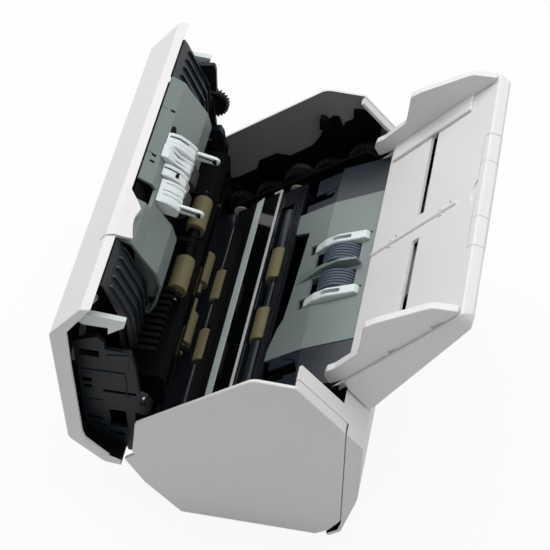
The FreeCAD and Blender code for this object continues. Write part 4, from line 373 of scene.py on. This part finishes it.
def slab(name, body, finish_key, place, outline, left, right, round_mm=0.3):
    """A piece with one outline of (along, above) points, from left to right."""
    rings = [[place(x, along, above) for along, above in outline] for x in (left, right)]
    return piece(name, body, finish_key, rings, round_mm)


def beside(line, away):
    """A line of (along, above) points moved sideways by one distance."""
    moved = []
    for i, point in enumerate(line):
        before = line[max(i - 1, 0)]
        after = line[min(i + 1, len(line) - 1)]
        run, rise = after[0] - before[0], after[1] - before[1]
        length = math.hypot(run, rise)
        moved.append((point[0] - rise / length * away, point[1] + run / length * away))
    return moved


def band(name, body, finish_key, place, line, outward, inward, left, right, round_mm=0.3):
    """A strip that follows a line, proud of it on one side and sunk on the other."""
    outline = beside(line, outward) + list(reversed(beside(line, -inward)))
    return slab(name, body, finish_key, place, outline, left, right, round_mm)


SCREW_SIDES = 24
SCREW_RINGS = ((1.0, -0.3), (1.0, 0.35), (0.86, 0.7), (0.5, 0.9))


def screw(name, body, centre, across, up, out, radius):
    """A low domed screw head with four small notches at the top of its dome."""
    rings = []
    for share, height in SCREW_RINGS:
        ring = []
        for index in range(SCREW_SIDES):
            angle = 2 * math.pi * index / SCREW_SIDES
            notch = 0.72 if share < 0.6 and index % 6 == 0 else 1.0
            reach = radius * share * notch / 1000
            side = across.normalized() * math.cos(angle) * reach
            side = side + up.normalized() * math.sin(angle) * reach
            ring.append(centre + side + out * (height / 1000))
        rings.append(ring)
    return piece(name, body, "shaft_steel", rings, 0.0)


SPOOL_SIDES = 40


def spool(name, body, finish_key, place, along, above, profile):
    """A round piece that lies across the machine, through (x, radius) stations."""
    rings = []
    for x, radius in profile:
        centre = place(x, along, above)
        ring = []
        for index in range(SPOOL_SIDES):
            angle = 2 * math.pi * index / SPOOL_SIDES
            ring.append(centre + Vector((0, math.cos(angle), math.sin(angle))) * (radius / 1000))
        rings.append(ring)
    return piece(name, body, finish_key, rings, 0.0)


# ---------------------------------------------------------------- the white hoods over the brake rollers
HOOD_LINES = {
    "steep": [(140.2, 23.0), (138.4, 16.4), (133.6, 10.2), (128.2, 5.3), (120.4, 6.3)],
    "slanted": [(140.8, 21.4), (137.0, 17.2), (133.2, 14.6), (126.4, 5.6), (120.4, 6.3)],
    "cap": [(136.0, 21.4), (134.4, 17.0), (130.4, 10.6), (124.8, 6.2), (120.4, 6.7)],
    "near": [(132.6, 18.0), (131.0, 13.0), (127.4, 7.4), (124.6, 5.2), (119.2, 6.6)],
}
HOOD_LOBES = (
    ("steep", -28.3, -25.4, 1.2), ("steep", -24.4, -19.8, 0.5), ("steep", -19.2, -15.8, 1.0),
    ("slanted", -15.1, -12.4, 1.1), ("slanted", -11.8, -7.4, 0.5), ("slanted", -6.8, -3.8, 0.9),
    ("cap", -2.2, 1.0, 1.0), ("cap", 1.8, 8.2, 0.4),
    ("near", 10.3, 13.2, 1.1), ("near", 14.0, 19.4, 0.4), ("near", 20.2, 23.8, 1.0),
    ("near", 24.4, 30.6, 0.5),
)
HOOD_SEAMS = (("steep", -25.2), ("slanted", -12.4), ("cap", 1.1), ("near", 19.5))
SEAM_WIDE = 0.9


def hood_lobes():
    """The rounded lobes that make up each white hood, with dark seams where the mouldings part."""
    for index, (line, left, right, lift) in enumerate(HOOD_LOBES):
        band("hood_lobe_%d" % index, "adf_cover", "white_plastic", in_cover, HOOD_LINES[line], lift, 1.2,
             PAPER_X + left, PAPER_X + right, min(0.9, (right - left) * 0.3))
    for index, (line, x) in enumerate(HOOD_SEAMS):
        upper = HOOD_LINES[line][:3]
        band("hood_seam_%d" % index, "adf_cover", "black_plastic", in_cover, upper, 0.15, 0.6,
             PAPER_X + x, PAPER_X + x + SEAM_WIDE, 0.0)


PRONG_X = 26.5
PRONG_HALF = 1.2
PRONG_END = (119.5, -8.4)
PRONG_SLOT = [(123.6, 4.2), (124.6, 3.8), (121.0, -7.2), (119.9, -6.8)]
PRONG_SLOT_HALF = 1.32


def hood_prongs():
    """The round ends of the two prongs, and black pieces in their long slots as painted shade."""
    for side in (-1, 1):
        x = PAPER_X + side * PRONG_X
        spool("prong_end_%d" % (side + 1), "adf_cover", "white_plastic", in_cover, *PRONG_END,
              [(x - PRONG_HALF, 2.5), (x - 0.9, 2.9), (x + 0.9, 2.9), (x + PRONG_HALF, 2.5)])
        # Painted shade: a black piece fills each prong's slot.
        slab("prong_slot_%d" % (side + 1), "adf_cover", "black_plastic", in_cover, PRONG_SLOT,
             x - PRONG_SLOT_HALF, x + PRONG_SLOT_HALF, 0.0)
    # Painted shade: black pieces fill a hole and a notch in the hood.
    spool("hood_hole", "adf_cover", "black_plastic", in_cover, 131.2, 12.0,
          [(PAPER_X + 3.2, 1.4), (PAPER_X + 6.4, 1.4)])
    notch = [(138.8, 21.6), (139.6, 24.2), (135.4, 24.4), (134.6, 21.4)]
    slab("hood_notch", "adf_cover", "black_plastic", in_cover, notch, PAPER_X - 36.4, PAPER_X - 29.4, 0.4)


hood_lobes()
hood_prongs()


# ---------------------------------------------------------------- round the rollers of the cover
PINCH_AT = (58.0, 7.3)
PINCH_SLEEVES = ((-14.4, -4.4), (0.4, 14.4))
HINGE_BAR = [(-121.6, 3.6), (-121.0, 4.4), (-60.0, 4.5), (0.0, 4.4), (60.0, 4.5), (118.4, 4.4), (119.0, 3.6)]


def cover_rounds():
    """The dark sleeves on the pinch shaft and the round bar along the hinge of the cover."""
    for index, (start, end) in enumerate(PINCH_SLEEVES):
        left, right = PAPER_X + start, PAPER_X + end
        spool("pinch_sleeve_%d" % index, "pinch_roll", "black_plastic", in_cover, *PINCH_AT,
              [(left, 3.4), (left + 0.5, 4.6), (left + 2.0, 4.6), (left + 2.4, 3.9), (right - 2.4, 3.9),
               (right - 2.0, 4.6), (right - 0.5, 4.6), (right, 3.4)])
    spool("hinge_bar", "adf_cover", "black_plastic", in_cover, *HINGE_ON_PATH, HINGE_BAR)


cover_rounds()


# ---------------------------------------------------------------- marks and seams of the cover's guide
GUIDE_SLOTS = ((-64.9, 142.0, 28.4), (-54.2, 141.4, 26.7), (-20.2, 138.9, 23.6), (-14.6, 139.3, 24.1),
               (-7.1, 142.8, 29.2), (-1.1, 142.7, 29.2), (6.7, 141.8, 28.1))
GUIDE_SLOT_HALF = 0.9
GUIDE_SEAMS = (-53.8, -8.4)
GUIDE_SEAM_LINE = [(145.2, 33.9), (143.1, 30.1)]


def guide_slots():
    """Black bands in the small slots of the lip band of the cover's guide, as painted shade, and the two
    dark seams beside them.
    """
    for index, (x, along, above) in enumerate(GUIDE_SLOTS):
        line = [(along + 0.8, above + 1.5), (along - 0.8, above - 1.5)]
        # Painted shade: a black band fills each slot.
        band("guide_slot_%d" % index, "adf_cover", "black_plastic", in_cover, line, 0.12, 0.8,
             x - GUIDE_SLOT_HALF, x + GUIDE_SLOT_HALF, 0.0)
    for index, x in enumerate(GUIDE_SEAMS):
        band("guide_seam_%d" % index, "adf_cover", "black_plastic", in_cover, GUIDE_SEAM_LINE, 0.1, 0.8,
             x - 0.2, x + 0.2, 0.0)


guide_slots()


# ---------------------------------------------------------------- marks of the chute
CHUTE_MARK_SPOTS = ((-5.2, 12.1), (-9.9, 24.4), (-5.2, 68.5), (-9.9, 78.2))


def chute_marks():
    """The small black marks beside the middle rib of the chute."""
    for index, (x, along) in enumerate(CHUTE_MARK_SPOTS):
        mark_outline = [(along - 0.4, -0.3), (along - 0.4, 0.06), (along + 0.4, 0.06), (along + 0.4, -0.3)]
        slab("chute_mark_%d" % index, "chute", "black_plastic", on_chute, mark_outline, x - 1.2, x + 0.6, 0.0)


chute_marks()


# ---------------------------------------------------------------- details of the near end plate
PLATE_REST = 16.0
PLATE_FACE = CASE_SIDE - PLATE_REST
PLATE_PAD = [(85.6, 33.4), (88.4, 17.2), (72.4, 19.4), (80.4, 33.8)]
PLATE_RIBS = ([(68.0, 53.0), (68.0, 22.0)], [(36.0, 52.0), (36.0, 40.0)], [(66.0, 22.0), (42.0, 22.0)])
PLATE_SINK = 0.4
PLATE_SCREW = (44.6, 10.6)
PLATE_SCREW_RADIUS = 1.4


def plate_details():
    """The raised pad, the moulded ribs and the screw on the outer face of the near end plate."""
    slab("plate_pad", "adf_cover", "plate_plastic", in_cover, PLATE_PAD,
         PLATE_FACE - PLATE_SINK, PLATE_FACE + 0.6, 0.3)
    for index, line in enumerate(PLATE_RIBS):
        band("plate_rib_%d" % index, "adf_cover", "plate_plastic", in_cover, line, 0.35, 0.35,
             PLATE_FACE - PLATE_SINK, PLATE_FACE + 0.7, 0.2)
    origin = in_cover(0, 0, 0)
    screw("plate_screw", "adf_cover", in_cover(PLATE_FACE, *PLATE_SCREW), in_cover(0, 1, 0) - origin,
          in_cover(0, 0, 1) - origin, Vector((1, 0, 0)), PLATE_SCREW_RADIUS)


plate_details()


# ---------------------------------------------------------------- floor, light and camera
FLOOR_HALF = 6
FLOOR_DROP = 0.0002
FLOOR_GLOW = 0.9
ROOM_LIGHT = 0.26


def pale_floor():
    """A plain white floor: the eye sees it white with the machine's soft shadow on it."""
    build = bmesh.new()
    corners = []
    for x, y in ((-1, -1), (1, -1), (1, 1), (-1, 1)):
        corners.append(build.verts.new((x * FLOOR_HALF, y * FLOOR_HALF, -FLOOR_DROP)))
    build.faces.new(corners)
    mesh = meshed("floor", build)
    floor = in_scene("floor", mesh)
    material = bpy.data.materials.new("white floor")
    tree = clear_tree(material)
    seen = seen_rays(tree)
    share = add(tree, "ShaderNodeMath", {"operation": "MULTIPLY"}, i0=seen, i1=FLOOR_GLOW)
    glow = add(tree, "ShaderNodeEmission", Color=(1, 1, 1, 1), Strength=1.0)
    matt = add(tree, "ShaderNodeBsdfDiffuse", Color=(0.85, 0.85, 0.85, 1))
    mix = add(tree, "ShaderNodeMixShader", i0=share.outputs[0], i1=matt.outputs[0], i2=glow.outputs[0])
    add(tree, "ShaderNodeOutputMaterial", Surface=mix.outputs[0])
    mesh.materials.append(material)


def seen_rays(tree):
    """One for what the eye sees straight, in a mirror or through glass, and nothing for the rest."""
    ray = add(tree, "ShaderNodeLightPath")
    mirrored = add(tree, "ShaderNodeMath", {"operation": "MAXIMUM"}, i0=ray.outputs["Is Camera Ray"],
                   i1=ray.outputs["Is Glossy Ray"])
    both = add(tree, "ShaderNodeMath", {"operation": "MAXIMUM"}, i0=mirrored.outputs[0],
               i1=ray.outputs["Is Transmission Ray"])
    return both.outputs[0]


def soft_box(name, place, aim, size, power):
    """One large soft light."""
    light = bpy.data.lights.new(name, "AREA")
    light.shape = "RECTANGLE"
    light.size, light.size_y = size
    light.energy = power
    holder = in_scene(name, light)
    holder.location = place
    holder.rotation_euler = (Vector(aim) - Vector(place)).to_track_quat("-Z", "Y").to_euler()


def white_room():
    """A dim even room around the machine that the eye still sees as white."""
    world = bpy.data.worlds.new("white room")
    bpy.context.scene.world = world
    tree = clear_tree(world)
    level = add(tree, "ShaderNodeMapRange", Value=seen_rays(tree), To_Min=ROOM_LIGHT, To_Max=1.0)
    back = add(tree, "ShaderNodeBackground", Color=(1, 1, 1, 1), Strength=level.outputs["Result"])
    add(tree, "ShaderNodeOutputWorld", Surface=back.outputs["Background"])


CAMERA_AT = (870.8, 238.5, 1085.9)
CAMERA_LENS = 120.30


def side_camera():
    """The camera above the near side of the machine, which sees its front to the left."""
    right = Vector((-0.1875, 0.9822, 0.0112))
    up = Vector((-0.7282, -0.1466, 0.6695))
    back = Vector((0.6592, 0.1174, 0.7427))
    camera = bpy.data.cameras.new("camera")
    camera.sensor_width = 36.0
    camera.lens = CAMERA_LENS
    camera.clip_start, camera.clip_end = 0.05, 50
    holder = in_scene("camera", camera)
    turn = Matrix((right, up, back)).transposed().to_4x4()
    holder.matrix_world = Matrix.Translation(spot(*CAMERA_AT)) @ turn
    bpy.context.scene.camera = holder


# Each soft box: its name, place, size and watts.
LAMPS = (("overhead", (-0.2, 0.2, 1.6), (1.6, 1.6), 19),
         ("front left", (-0.9, -1.3, 1.3), (1.2, 1.2), 14),
         ("rear right", (0.9, 1.2, 0.9), (1.0, 1.0), 1.5))
LAMP_AIM = (0, 0, 0.1)

pale_floor()
white_room()
side_camera()
for name, place, size, watts in LAMPS:
    soft_box(name, place, LAMP_AIM, size, watts)

scene = bpy.context.scene
scene.view_settings.view_transform = "Standard"
